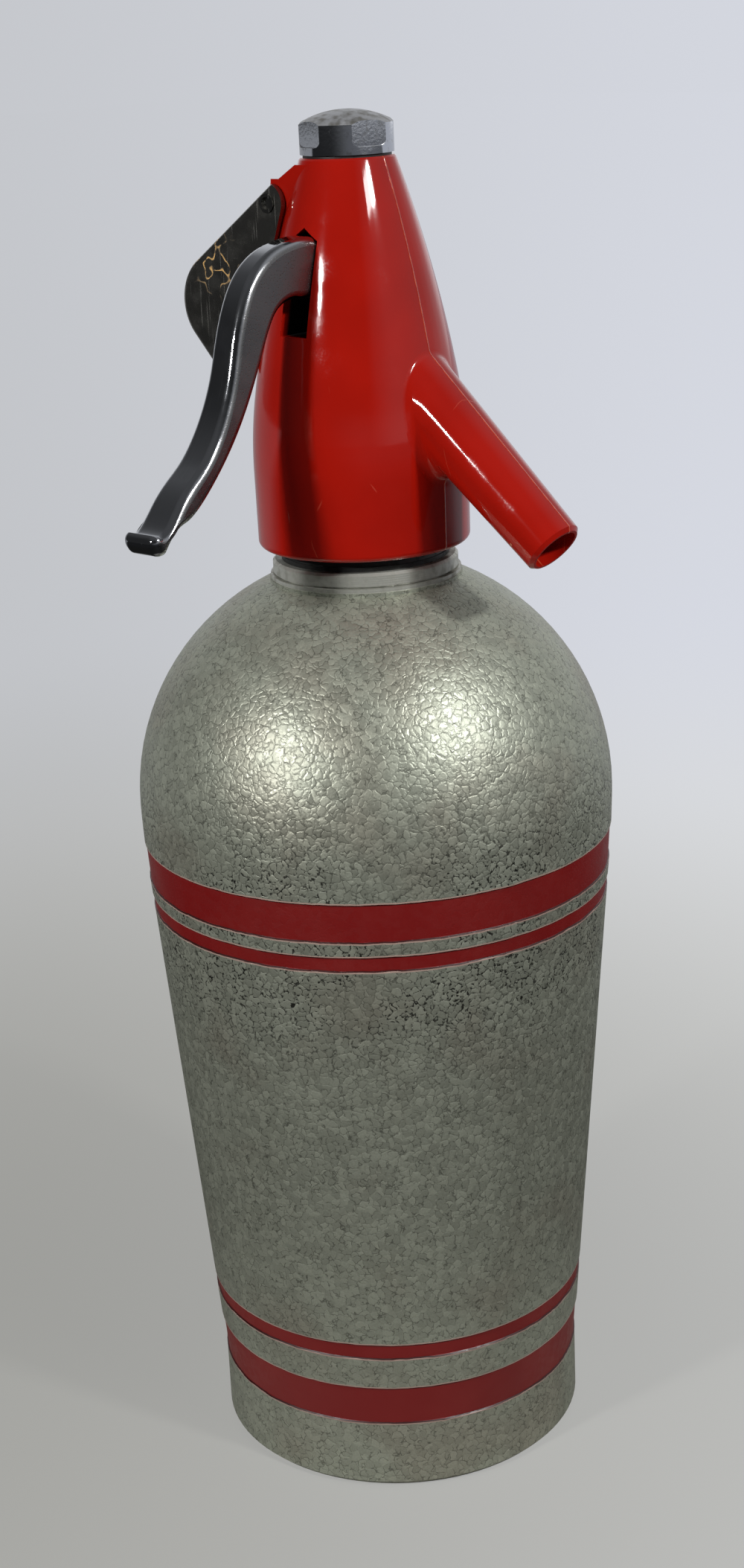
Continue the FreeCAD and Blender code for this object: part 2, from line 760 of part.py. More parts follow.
def make_cap():
    """Chromed screw cap with a domed top and spanner flats, hollow for the spring."""
    washer("cap_gasket", "shaft_radius", "cap_radius - cap_edge", "0", "cap_gasket")
    body = piece("top_cap", z=f"{TOP} + cap_gasket")
    sketch = sketch_on(body, "XZ_Plane")
    corners = [
        ("cap_bore", "-cap_boss_depth"),
        ("cap_boss_radius", "-cap_boss_depth"),
        ("cap_boss_radius", "0"),
        ("cap_radius", "0"),
        ("cap_radius", "cap_side - cap_edge"),
        ("cap_radius - cap_edge", "cap_side"),
        ("0", "cap_side + cap_dome"),
        ("0", "cap_side - cap_roof"),
        ("cap_bore", "cap_side - cap_roof"),
    ]
    dome = "((cap_radius - cap_edge)^2 + cap_dome^2) / (2 * cap_dome)"
    outline(sketch, corners, {5: (dome, -1)})
    turn_profile(body, sketch)
    reach = "(cap_radius - cap_flat_depth)"
    flat = sketch_on(body, "XZ_Plane", x=f"{reach} * sin(cap_flat_turn)",
                     lift=f"{reach} * cos(cap_flat_turn)", turn="cap_flat_turn",
                     about=Vector(0, 1, 0))
    half = "cap_flat_width / 2"
    low = "cap_flat_z"
    high = "cap_flat_z + cap_flat_height"
    corner = "cap_flat_corner"
    corners = [
        (f"-{half} + {corner}", low),
        (f"{half} - {corner}", low),
        (half, f"{low} + {corner}"),
        (half, f"{high} - {corner}"),
        (f"{half} - {corner}", high),
        (f"-{half} + {corner}", high),
        (f"-{half}", f"{high} - {corner}"),
        (f"-{half}", f"{low} + {corner}"),
    ]
    outline(flat, corners, {edge: (corner, -1) for edge in (1, 3, 5, 7)})
    pocket = push_profile(body, flat, "cap_flat_depth + cut_past", cut=True, backwards=True)
    pattern = body.newObject("PartDesign::PolarPattern", "cap_flats")
    pattern.Originals = [pocket]
    vertical = next(item for item in body.Origin.OriginFeatures if item.Role == "Z_Axis")
    pattern.Axis = (vertical, [""])
    pattern.Angle = 360
    pattern.Occurrences = round(size("cap_flats"))
    body.Tip = pattern
    document.recompute()


def make_valve():
    """Stem, rubber washer, seat, gland and spring, all on the axis."""
    washer("valve_seat", "valve_way", "seat_radius - running_gap / 2", "seat_floor",
           "chamber_floor - seat_floor")
    body = piece("valve_washer", z=TOP)
    sketch = sketch_on(body, "XZ_Plane")
    low = f"{SEAT_TOP} + seal_gap"
    top = f"{low} + washer_height"
    outline(sketch, [("0", low), ("washer_radius", low), ("washer_radius", top), ("0", top)])
    turn_profile(body, sketch)
    stem = piece("valve_stem", z=TOP)
    sketch = sketch_on(stem, "XZ_Plane")
    foot_top = f"{top} + valve_foot"
    corners = [
        ("0", top),
        ("washer_radius", top),
        ("washer_radius", foot_top),
        ("stem_radius", foot_top),
        ("stem_radius", "collar_bottom"),
        ("stem_collar_radius", "collar_bottom"),
        ("stem_collar_radius", STEM_COLLAR_TOP),
        ("stem_radius", STEM_COLLAR_TOP),
        ("stem_radius", "stem_top"),
        ("0", "stem_top"),
    ]
    outline(sketch, corners)
    turn_profile(stem, sketch)
    rod_hole = "stem_radius + running_gap"
    ring = "shaft_radius - running_gap"
    packing_low = "shaft_floor + bush_height"
    gland_low = f"{packing_low} + packing_height"
    washer("gland_bush", rod_hole, ring, "shaft_floor", "bush_height")
    washer("stem_packing", rod_hole, ring, packing_low, "packing_height")
    washer("gland_nut", "stem_radius + fit_gap", ring, gland_low, "gland_height")


def make_spring():
    """Compression spring between the stem's collar and the roof of the cap."""
    body = piece("valve_spring", z=f"{TOP} + {STEM_COLLAR_TOP} + spring_wire + seal_gap / 2")
    sketch = sketch_on(body, "XZ_Plane")
    sides = 6
    corners = []
    for side in range(sides):
        angle = 360 / sides * side
        corners.append((f"spring_radius + spring_wire * cos({angle})",
                        f"spring_wire * sin({angle})"))
    outline(sketch, corners)
    document.recompute()
    helix = body.newObject("PartDesign::AdditiveHelix", "valve_spring_coil")
    helix.Profile = sketch
    helix.ReferenceAxis = (sketch, ["V_Axis"])
    helix.Mode = "pitch-height-angle"
    room = f"(cap_gasket + cap_side - cap_roof - {STEM_COLLAR_TOP} - 2 * spring_wire - seal_gap)"
    bind(helix, "Height", room)
    bind(helix, "Pitch", f"{room} / spring_turns")
    document.recompute()


def lever_stations():
    """Sections along the lever as (out, z, drop angle, width, depth)."""
    root = "(lever_root_out + lever_root_run)"
    bend_out = "lever_bend * sin({0})"
    bend_drop = "lever_bend * (1 - cos({0}))"
    stations = [
        ("lever_root_out", "lever_root_z", "0", "lever_root_width", "lever_root_depth"),
        (root, "lever_root_z", "0", "lever_root_width", "lever_root_depth"),
    ]
    for share in (1 / 3, 2 / 3, 1):
        angle = f"({share:.3f} * lever_drop_angle)"
        depth = f"lever_root_depth + {share:.3f} * (lever_drop_depth - lever_root_depth)"
        width = f"lever_root_width + {share:.3f} * (lever_drop_width - lever_root_width)"
        out = f"{root} + {bend_out.format(angle)}"
        level = f"lever_root_z - {bend_drop.format(angle)}"
        stations.append((out, level, angle, width, depth))
    drop = "lever_drop_angle"
    knee_out = f"({root} + {bend_out.format(drop)} + lever_drop_run * cos({drop}))"
    knee_z = f"(lever_root_z - {bend_drop.format(drop)} - lever_drop_run * sin({drop}))"
    stations.append((knee_out, knee_z, drop, "lever_waist_width", "lever_waist_depth"))
    for share in (1 / 3, 2 / 3, 1):
        angle = f"({drop} + {share:.3f} * (lever_tip_angle - {drop}))"
        out = f"{knee_out} + lever_sweep * (sin({drop}) - sin({angle}))"
        level = f"{knee_z} - lever_sweep * (cos({angle}) - cos({drop}))"
        fall = math.sqrt(share)
        depth = f"lever_waist_depth + {fall:.3f} * (lever_blade_depth - lever_waist_depth)"
        width = f"lever_waist_width + {share:.3f} * lever_flare * (lever_tip_width - lever_waist_width)"
        stations.append((out, level, angle, width, depth))
    out, level, angle, width, depth = stations[-1]
    out = f"{out} + lever_tip_run * cos(lever_tip_angle)"
    level = f"{level} - lever_tip_run * sin(lever_tip_angle)"
    stations.append((out, level, "lever_tip_angle", "lever_tip_width", "lever_tip_depth"))
    return stations


def lever_section(body, out, level, angle, width, depth, corner):
    """Rounded rectangle across the lever, its normal along the lever's run."""
    section = sketch_on(body, "XZ_Plane", y=level, lift=out, turn=angle, about=Vector(1, 0, 0))
    half = f"({width}) / 2"
    deep = f"({depth}) / 2"
    corners = [
        (f"-{half} + {corner}", f"-{deep}"),
        (f"{half} - {corner}", f"-{deep}"),
        (half, f"-{deep} + {corner}"),
        (half, f"{deep} - {corner}"),
        (f"{half} - {corner}", deep),
        (f"-{half} + {corner}", deep),
        (f"-{half}", f"{deep} - {corner}"),
        (f"-{half}", f"-{deep} + {corner}"),
    ]
    outline(section, corners, {edge: (corner, -1) for edge in (1, 3, 5, 7)})
    return section


def loft_through(body, name, sections):
    """Smooth solid through a row of sections."""
    document.recompute()
    loft = body.newObject("PartDesign::AdditiveLoft", name)
    loft.Profile = sections[0]
    loft.Sections = sections[1:]
    loft.Ruled = False
    document.recompute()


def make_lever():
    """Cast lever: pivot hub and fork inside the head, swept blade outside."""
    body = piece("lever", z=TOP)
    stations = lever_stations()
    sections = [lever_section(body, *station, "lever_corner") for station in stations]
    loft_through(body, "lever_blade", sections)
    out, level, angle, width, depth = stations[-1]
    sections = []
    for share in (0, 0.5, 0.8, 0.95):
        deep = math.sqrt(1 - share**2)
        wide = 0.5 + 0.5 * deep
        sections.append(lever_section(
            body,
            f"{out} + {share} * lever_end_round * cos({angle})",
            f"{level} - {share} * lever_end_round * sin({angle})",
            angle,
            f"{wide:.3f} * {width}",
            f"{deep:.3f} * {depth}",
            f"{deep:.3f} * lever_corner",
        ))
    loft_through(body, "lever_tip", sections)
    hub = sketch_on(body, "YZ_Plane")
    corners = [
        ("-lever_root_out - lever_overlap", "lever_root_z - lever_root_depth / 2 + lever_corner"),
        ("-pivot_out", "pivot_z - hub_radius"),
        ("fork_reach", "arm_bottom"),
        ("fork_reach", "arm_top - arm_fall"),
        ("0", "arm_top"),
        ("-pivot_out + hub_radius / 2", "arm_top"),
        ("-lever_root_out - lever_overlap", "lever_root_z + lever_root_depth / 2 - lever_corner"),
    ]
    outline(hub, corners)
    push_profile(body, hub, "lever_root_width", both_ways=True)
    fork = sketch_on(body, "XY_Plane")
    corners = [
        ("-fork_gap / 2", "-fork_gap / 2"),
        ("fork_gap / 2", "-fork_gap / 2"),
        ("fork_gap / 2", "fork_reach + cut_past"),
        ("-fork_gap / 2", "fork_reach + cut_past"),
    ]
    outline(fork, corners)
    push_profile(body, fork, "2 * head_height", cut=True, both_ways=True)
    pivot = sketch_on(body, "YZ_Plane")
    round_hole(pivot, "-pivot_out", "pivot_z", "pivot_radius + running_gap")
    push_profile(body, pivot, "2 * lever_root_width", cut=True, both_ways=True)


def make_lever_pin():
    """Steel pin pressed into the casting, on which the lever turns."""
    body = piece("lever_pin", z=TOP)
    sketch = sketch_on(body, "YZ_Plane", lift="pivot_blind")
    round_hole(sketch, "-pivot_out", "pivot_z", "pivot_radius - press_gap")
    flush = "sqrt(head_turn_radius^2 - pivot_out^2) / 2"
    push_profile(body, sketch, f"pivot_blind + {flush}", backwards=True)


def make_hood():
    """Pressed hood over the charger socket: web, rounded corner, lip and cheeks."""
    body = piece("charger_hood", x="-hinge_out", z=f"{TOP} + hinge_z")
    lean = "hood_lip_lean"
    run = f"(hood_corner * tan(45 + {lean} / 2))"
    turn = "180 + hood_slope"
    web = "(-hood_offset)"
    eye = "(-sqrt(cheek_eye^2 - hood_offset^2))"
    corner_in = (f"hood_length - {run}", web)
    corner_out = (f"hood_length - {run} * sin({lean})", f"{web} + {run} * cos({lean})")
    lip_end = (f"hood_length - hood_lip * sin({lean})", f"{web} + hood_lip * cos({lean})")
    side = sketch_on(body, "XZ_Plane", turn=turn)
    corners = [
        (eye, web),
        corner_in,
        corner_out,
        lip_end,
        ("cheek_heel_x", "cheek_heel_y"),
        ("cheek_waist_x", "cheek_waist_y"),
        ("-cheek_eye * sin(cheek_eye_turn)", "cheek_eye * cos(cheek_eye_turn)"),
    ]
    outline(side, corners, {1: ("hood_corner", -1), 6: ("cheek_eye", -1)})
    push_profile(body, side, f"2 * {HOOD_SIDE} + 2 * hood_sheet", both_ways=True)
    inner_web = f"({web} + hood_sheet)"
    reach = "(hood_lip + hood_open_past)"
    inside = sketch_on(body, "XZ_Plane", turn=turn)
    inner_x = f"hood_sheet * cos({lean})"
    inner_y = f"hood_sheet * sin({lean})"
    corners = [
        ("-2 * hinge_eye", "-2 * hinge_eye"),
        ("hood_web_start", "-2 * hinge_eye"),
        ("hood_web_start", inner_web),
        (corner_in[0], inner_web),
        (f"{corner_out[0]} - {inner_x}", f"{corner_out[1]} - {inner_y}"),
        (f"hood_length - {reach} * sin({lean}) - {inner_x}", f"{web} + {reach} * cos({lean}) - {inner_y}"),
        ("-2 * hinge_eye", f"{web} + {reach} * cos({lean}) - {inner_y}"),
    ]
    outline(inside, corners, {3: ("hood_corner - hood_sheet", -1)})
    push_profile(body, inside, f"2 * {HOOD_SIDE}", cut=True, both_ways=True)
    hole = sketch_on(body, "XZ_Plane")
    round_hole(hole, "0", "0", "hinge_pin_radius + running_gap")
    push_profile(body, hole, "4 * lug_side", cut=True, both_ways=True)
    bend_hood_edges(body)


def bend_hood_edges(body):
    """Round the bends between the hood's web and its cheeks."""
    outer = size(f"{HOOD_SIDE} + hood_sheet")
    slope = math.radians(size("hood_slope"))
    offset = size("hood_offset")
    lean = math.radians(size("hood_lip_lean"))
    length = size("hood_length")
    corner = size("hood_corner")

    def on_bend(point, edge):
        if abs(abs(point.y) - outer) > 0.01:
            return False
        along = -point.x * math.cos(slope) - point.z * math.sin(slope)
        down = point.x * math.sin(slope) - point.z * math.cos(slope)
        on_web = abs(down + offset) < 0.01 and along < length
        lip_gap = (length - along) * math.cos(lean) - (down + offset) * math.sin(lean)
        on_lip = abs(lip_gap) < 0.01
        rounded = edge.Curve.TypeId == "Part::GeomCircle" and abs(edge.Curve.Radius - corner) < 0.01
        return on_web or on_lip or rounded

    round_edges(body, on_bend, "min(hood_round; 0.9 * hood_sheet)")


def make_hood_pin():
    """Riveted pin with hollow ends through the lug, on which the hood swings."""
    body = piece("hood_pin", x="-hinge_out", z=f"{TOP} + hinge_z")
    end = f"({HOOD_SIDE} + hood_sheet + running_gap)"
    sketch = sketch_on(body, "XZ_Plane")
    round_hole(sketch, "0", "0", "hinge_pin_radius - press_gap")
    push_profile(body, sketch, f"2 * {end}", both_ways=True)
    for backwards in (False, True):
        head = sketch_on(body, "XZ_Plane", lift=f"{'-' if backwards else ''}{end}")
        round_hole(head, "0", "0", "hinge_head_radius")
        push_profile(body, head, "hinge_head", backwards=backwards)
        dimple = sketch_on(body, "XZ_Plane", lift=f"{'-' if backwards else ''}({end} + hinge_head)")
        round_hole(dimple, "0", "0", "hinge_recess_radius")
        push_profile(body, dimple, "hinge_recess", cut=True, backwards=backwards)


def socket_piece(label, corners, arcs=None):
    """Turned piece on the axis of the charger socket."""
    body = piece(label, z=TOP)
    sketch = socket_sketch(body, "socket_rise")
    outline(sketch, corners, arcs)
    turn_profile(body, sketch)
    return body


def make_charger_parts():
    """Seal, holder screw and piercing pin at the bottom of the socket."""
    wall = "(charger_neck_bore - fit_gap)"
    seal_low = f"(-{CHARGER_END} - charger_seal)"
    socket_piece("charger_seal", [
        ("charger_seal_hole", seal_low),
        (wall, seal_low),
        (wall, f"-{CHARGER_END}"),
        ("charger_seal_hole", f"-{CHARGER_END}"),
    ])
    low = "(-holder_end_depth + fit_gap)"
    socket_piece("pin_holder", [
        ("piercing_pin_radius", low),
        (wall, low),
        (wall, seal_low),
        ("piercing_pin_radius", seal_low),
    ])
    socket_piece("piercing_pin", [
        ("0", low),
        ("piercing_pin_radius - press_gap", low),
        ("piercing_pin_radius - press_gap", f"-{PIN_POINT} - pin_point_length"),
        ("0", f"-{PIN_POINT}"),
    ])


def make_gas_valve():
    """Nipple below the head and the rubber sleeve that lets gas out, not back."""
    body = piece("gas_nipple", x="gas_way_out", z=f"{HEAD} - spigot_depth")
    sketch = sketch_on(body, "XZ_Plane")
    corners = [
        ("0", "-nipple_flange - nipple_length"),
        ("nipple_stem", "-nipple_flange - nipple_length"),
        ("nipple_stem", "-nipple_flange"),
        ("nipple_flange_radius", "-nipple_flange"),
        ("nipple_flange_radius", "0"),
        ("nipple_radius", "0"),
        ("nipple_radius", "nipple_seat - fit_gap"),
        ("nipple_bore", "nipple_seat - fit_gap"),
        ("nipple_bore", "-nipple_flange - nipple_length / 2"),
        ("0", "-nipple_flange - nipple_length / 2"),
    ]
    outline(sketch, corners)
    turn_profile(body, sketch)
    vent = sketch_on(body, "YZ_Plane")
    round_hole(vent, "0", "-nipple_flange - nipple_length / 2 + nipple_bore", "nipple_bore")
    push_profile(body, vent, "4 * nipple_stem", cut=True, both_ways=True)
    washer("check_sleeve", "nipple_stem + running_gap / 2", "nipple_stem + sleeve_wall",
           "-nipple_flange - nipple_length", "nipple_length", x="gas_way_out",
           z=f"{HEAD} - spigot_depth")


def make_dip_tube():
    """Dip tube from near the floor up into the head, with its seal and nut."""
    floor = "(base_rise + bottle_wall + tube_floor_gap)"
    top = f"({HEAD} - spigot_depth + tube_seat - fit_gap)"
    washer("dip_tube", "tube_bore", "tube_radius", floor, f"{top} - {floor}",
           y="riser_offset", z="0")
    hole = "tube_radius + running_gap / 2"
    under = f"{HEAD} - spigot_depth"
    washer("tube_seal", hole, "tube_seal_radius", "-tube_seal", "tube_seal",
           y="riser_offset", z=under)
    washer("tube_nut", hole, "tube_nut_radius", "-tube_seal - tube_nut", "tube_nut",
           y="riser_offset", z=under)


def export_pieces():
    """Check every object and each sub-part's shape, then write the STEP files."""
    document.recompute()
    for item in document.Objects:
        if "Invalid" in item.State or "Error" in item.State:
            raise RuntimeError(f"{item.Label}: {item.State}")
    for body in pieces:
        if body.Shape.isNull() or not body.Shape.isValid():
            raise RuntimeError(f"{body.Label}: bad shape")
    os.makedirs("parts", exist_ok=True)
    for body in pieces:
        body.Shape.exportStep(f"parts/{body.Label}.step")
        print(f"{body.Label}: {len(body.Shape.Solids)} solid, {body.Shape.Volume:.1f} mm3")


fill_sheet()
make_bottle()
make_neck_ring()
make_neck_gasket()
make_head_housing()
make_cap()
make_valve()
make_spring()
make_lever()
make_lever_pin()
make_hood()
make_hood_pin()
make_charger_parts()
make_gas_valve()
make_dip_tube()
export_pieces()
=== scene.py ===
# Looks of a soda siphon: a hammertone bottle with red bands, an enamelled casting with a
# plated lever, cap and charger hood, and the fittings inside. Lengths are in metres in the
# row frame, and in millimetres in the finishes, where a name ends in _mm.

import logging
import math
from dataclasses import dataclass, field
from enum import Enum
from typing import Any

import bpy
from mathutils import Matrix, Vector


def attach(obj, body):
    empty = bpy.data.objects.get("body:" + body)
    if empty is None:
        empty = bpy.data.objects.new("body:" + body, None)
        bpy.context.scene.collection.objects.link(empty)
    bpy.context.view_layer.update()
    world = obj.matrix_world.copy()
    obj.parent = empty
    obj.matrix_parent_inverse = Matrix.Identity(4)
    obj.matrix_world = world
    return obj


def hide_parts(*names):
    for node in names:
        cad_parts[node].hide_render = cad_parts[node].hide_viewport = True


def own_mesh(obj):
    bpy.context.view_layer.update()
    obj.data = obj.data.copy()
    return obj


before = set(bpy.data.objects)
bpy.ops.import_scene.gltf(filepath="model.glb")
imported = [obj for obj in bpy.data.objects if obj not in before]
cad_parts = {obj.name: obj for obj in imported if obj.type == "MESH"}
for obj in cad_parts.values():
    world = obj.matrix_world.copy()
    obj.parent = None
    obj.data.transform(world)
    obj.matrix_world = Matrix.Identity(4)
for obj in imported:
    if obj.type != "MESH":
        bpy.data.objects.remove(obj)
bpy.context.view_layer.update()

logging.basicConfig(level=logging.INFO, format="%(name)s: %(message)s")
log = logging.getLogger("siphon")

Colour = tuple[float, float, float, float]
Point = tuple[float, float, float]
Span = tuple[float, float]
Node = bpy.types.Node
Socket = bpy.types.NodeSocket
Tree = bpy.types.NodeTree

MM = 0.001
HALF = 0.5
MIDDLE = (HALF, HALF, HALF)
WHOLE = (0.0, 1.0)
# How much finer noise lies on the coarse one.
SMOOTH, SOFT, ROUGH = 1.0, 2.0, 3.0
# Level ways, in degrees from the camera's own.
AHEAD, RIGHT = 0.0, 90.0


def linear(code: str) -> Colour:
    """Turn an sRGB hex colour into a linear one.

    Args:
        code: six hex digits after a #.

    Returns:
        The linear red, green, blue and an alpha of 1.
    """
    parts = [int(code[i : i + 2], 16) / 255 for i in (1, 3, 5)]
    red, green, blue = (p / 12.92 if p <= 0.04045 else ((p + 0.055) / 1.055) ** 2.4 for p in parts)
    return red, green, blue, 1.0


@dataclass(frozen=True)
class Patches:
    """Cloudy patches: their size and detail, and the noise between which they come up."""

    size_mm: float
    detail: float
    low: float
    high: float


@dataclass(frozen=True)
class Graph:
    """A node tree, with short ways to work something out in it."""

    tree: Tree

    def add(self, kind: str, inputs: dict[Any, Any] | None = None, **settings: Any) -> Node:
        """Add a node with its settings, and give its inputs a number or a link.

        Args:
            kind: Blender's name for the node.
            inputs: value or socket for each input, by name or number.
            settings: the node's own properties.

        Returns:
            The new node.
        """
        node = self.tree.nodes.new(kind)
        for name, value in settings.items():
            setattr(node, name, value)
        self.feed(node, inputs or {})
        return node

    def feed(self, node: Node, inputs: dict[Any, Any]) -> None:
        """Give a node's inputs a number or a link each."""
        for key, value in inputs.items():
            if isinstance(value, Socket):
                self.tree.links.new(value, node.inputs[key])
            else:
                node.inputs[key].default_value = value

    def maths(self, operation: str, *values: Any) -> Socket:
        """Work out one number from others.

        Args:
            operation: what is done, such as SQRT or COMPARE.
            values: numbers or sockets.

        Returns:
            The socket that holds the result.
        """
        inputs = dict(enumerate(values))
        return self.add("ShaderNodeMath", inputs, operation=operation).outputs[0]

    def plus(self, one: Any, other: Any) -> Socket:
        """Return the sum."""
        return self.maths("ADD", one, other)

    def minus(self, one: Any, other: Any) -> Socket:
        """Return the difference."""
        return self.maths("SUBTRACT", one, other)

    def times(self, one: Any, other: Any) -> Socket:
        """Return the product."""
        return self.maths("MULTIPLY", one, other)

    def larger(self, one: Any, other: Any) -> Socket:
        """Return the larger of two numbers."""
        return self.maths("MAXIMUM", one, other)

    def magnitude(self, value: Any) -> Socket:
        """Return a number without its sign."""
        return self.maths("ABSOLUTE", value)

    def reach(self, across: Socket, along: Socket) -> Socket:
        """Return the distance from the upright axis."""
        return self.maths("SQRT", self.plus(self.times(across, across), self.times(along, along)))

    def ease(self, value: Any, span: Span, start: float = 0.0, end: float = 1.0) -> Socket:
        """Go smoothly from start to end while a value crosses a span.

        Args:
            value: the number that is followed.
            span: where the change starts and where it ends.
            start: the result before the span.
            end: the result after the span.

        Returns:
            The socket that holds the result.
        """
        low, high = span
        inputs = {"Value": value, "From Min": low, "From Max": high, "To Min": start, "To Max": end}
        return self.add("ShaderNodeMapRange", inputs, interpolation_type="SMOOTHSTEP").outputs[0]

    def fade(self, value: Any, span: Span) -> Socket:
        """Go smoothly from 1 to 0 while a value crosses a span."""
        return self.ease(value, span, 1.0, 0.0)

    def vector(self, operation: str, *values: Any, output: str = "Vector") -> Socket:
        """Work out a vector from others.

        Args:
            operation: what is done, such as SUBTRACT or LENGTH.
            values: vectors or sockets.
            output: Vector, or Value where the result is a number.

        Returns:
            The socket that holds the result.
        """
        inputs = dict(enumerate(values))
        return self.add("ShaderNodeVectorMath", inputs, operation=operation).outputs[output]

    def parts(self, place: Socket) -> tuple[Socket, Socket, Socket]:
        """Return a vector's parts along X, Y and Z."""
        split = self.add("ShaderNodeSeparateXYZ", {0: place})
        return split.outputs[0], split.outputs[1], split.outputs[2]

    def mix(self, share: Any, below: Any, above: Any, blend_type: str = "MIX") -> Socket:
        """Lay one colour over another.

        Args:
            share: how much of the upper colour shows, from 0 to 1.
            below: the lower colour, or its socket.
            above: the upper colour, or its socket.
            blend_type: how they go together.

        Returns:
            The socket of the mixed colour.
        """
        inputs = {0: share, 6: below, 7: above}
        mixed = self.add("ShaderNodeMix", inputs, data_type="RGBA", blend_type=blend_type)
        return mixed.outputs[2]


@dataclass(frozen=True)
class Ground(Graph):
    """The start of every finish: its shader and the place on the piece, in millimetres."""

    material: bpy.types.Material
    shader: Node
    place: Socket
    normal: Socket

    @classmethod
    def start(cls, name: str) -> "Ground":
        """Make an empty finish that reads the piece's own coordinates.

        Args:
            name: the finish's name.

        Returns:
            The start of the finish.
        """
        material = bpy.data.materials.new(name)
        material.use_nodes = True
        graph = Graph(material.node_tree)
        graph.tree.nodes.clear()
        shader = graph.add("ShaderNodeBsdfPrincipled")
        graph.add("ShaderNodeOutputMaterial", {"Surface": shader.outputs["BSDF"]})
        coordinates = graph.add("ShaderNodeTexCoord")
        inputs = {0: coordinates.outputs["Object"], "Scale": 1 / MM}
        place = graph.add("ShaderNodeVectorMath", inputs, operation="SCALE").outputs[0]
        return cls(graph.tree, material, shader, place, coordinates.outputs["Normal"])

    def noise(self, size_mm: float, detail: float = SOFT) -> Socket:
        """Return cloudy variation whose patches are about size_mm across."""
        inputs = {"Vector": self.place, "Scale": 1 / size_mm, "Detail": detail}
        return self.add("ShaderNodeTexNoise", inputs).outputs[0]

    def patches(self, kind: Patches, start: float = 0.0, end: float = 1.0) -> Socket:
        """Return cloudy patches.

        Args:
            kind: their size, detail and range.
            start: the result between them.
            end: the result inside them.

        Returns:
            The socket that holds the result.
        """
        return self.ease(self.noise(kind.size_mm, kind.detail), (kind.low, kind.high), start, end)

    def spots(self, apart_mm: float) -> Socket:
        """Return the distance to the nearest of many scattered points, as a share of apart_mm."""
        inputs = {"Vector": self.place, "Scale": 1 / apart_mm}
        return self.add("ShaderNodeTexVoronoi", inputs).outputs["Distance"]

    def relief(self, height: Socket, depth_mm: float, below: Socket | None = None) -> Socket:
        """Raise the surface in shading by depth_mm where height is 1.

        Args:
            height: the relief, from 0 to 1.
            depth_mm: the real height of the relief.
            below: normal that it is laid on.

        Returns:
            The socket of the new normal.
        """
        inputs: dict[Any, Any] = {"Height": height, "Distance": depth_mm * MM, "Strength": 1.0}
        if below is not None:
            inputs["Normal"] = below
        return self.add("ShaderNodeBump", inputs).outputs[0]

    def finish(self, inputs: dict[str, Any]) -> bpy.types.Material:
        """Give the shader its inputs and return the material."""
        self.feed(self.shader, inputs)
        return self.material


class Band(Enum):
    """The red bands round the bottle: lower and upper edge above the table, in millimetres."""

    FOOT_WIDE = (17.4, 27.5)
    FOOT_NARROW = (35.6, 39.6)
    WAIST_NARROW = (136.9, 140.5)
    WAIST_WIDE = (143.9, 153.0)


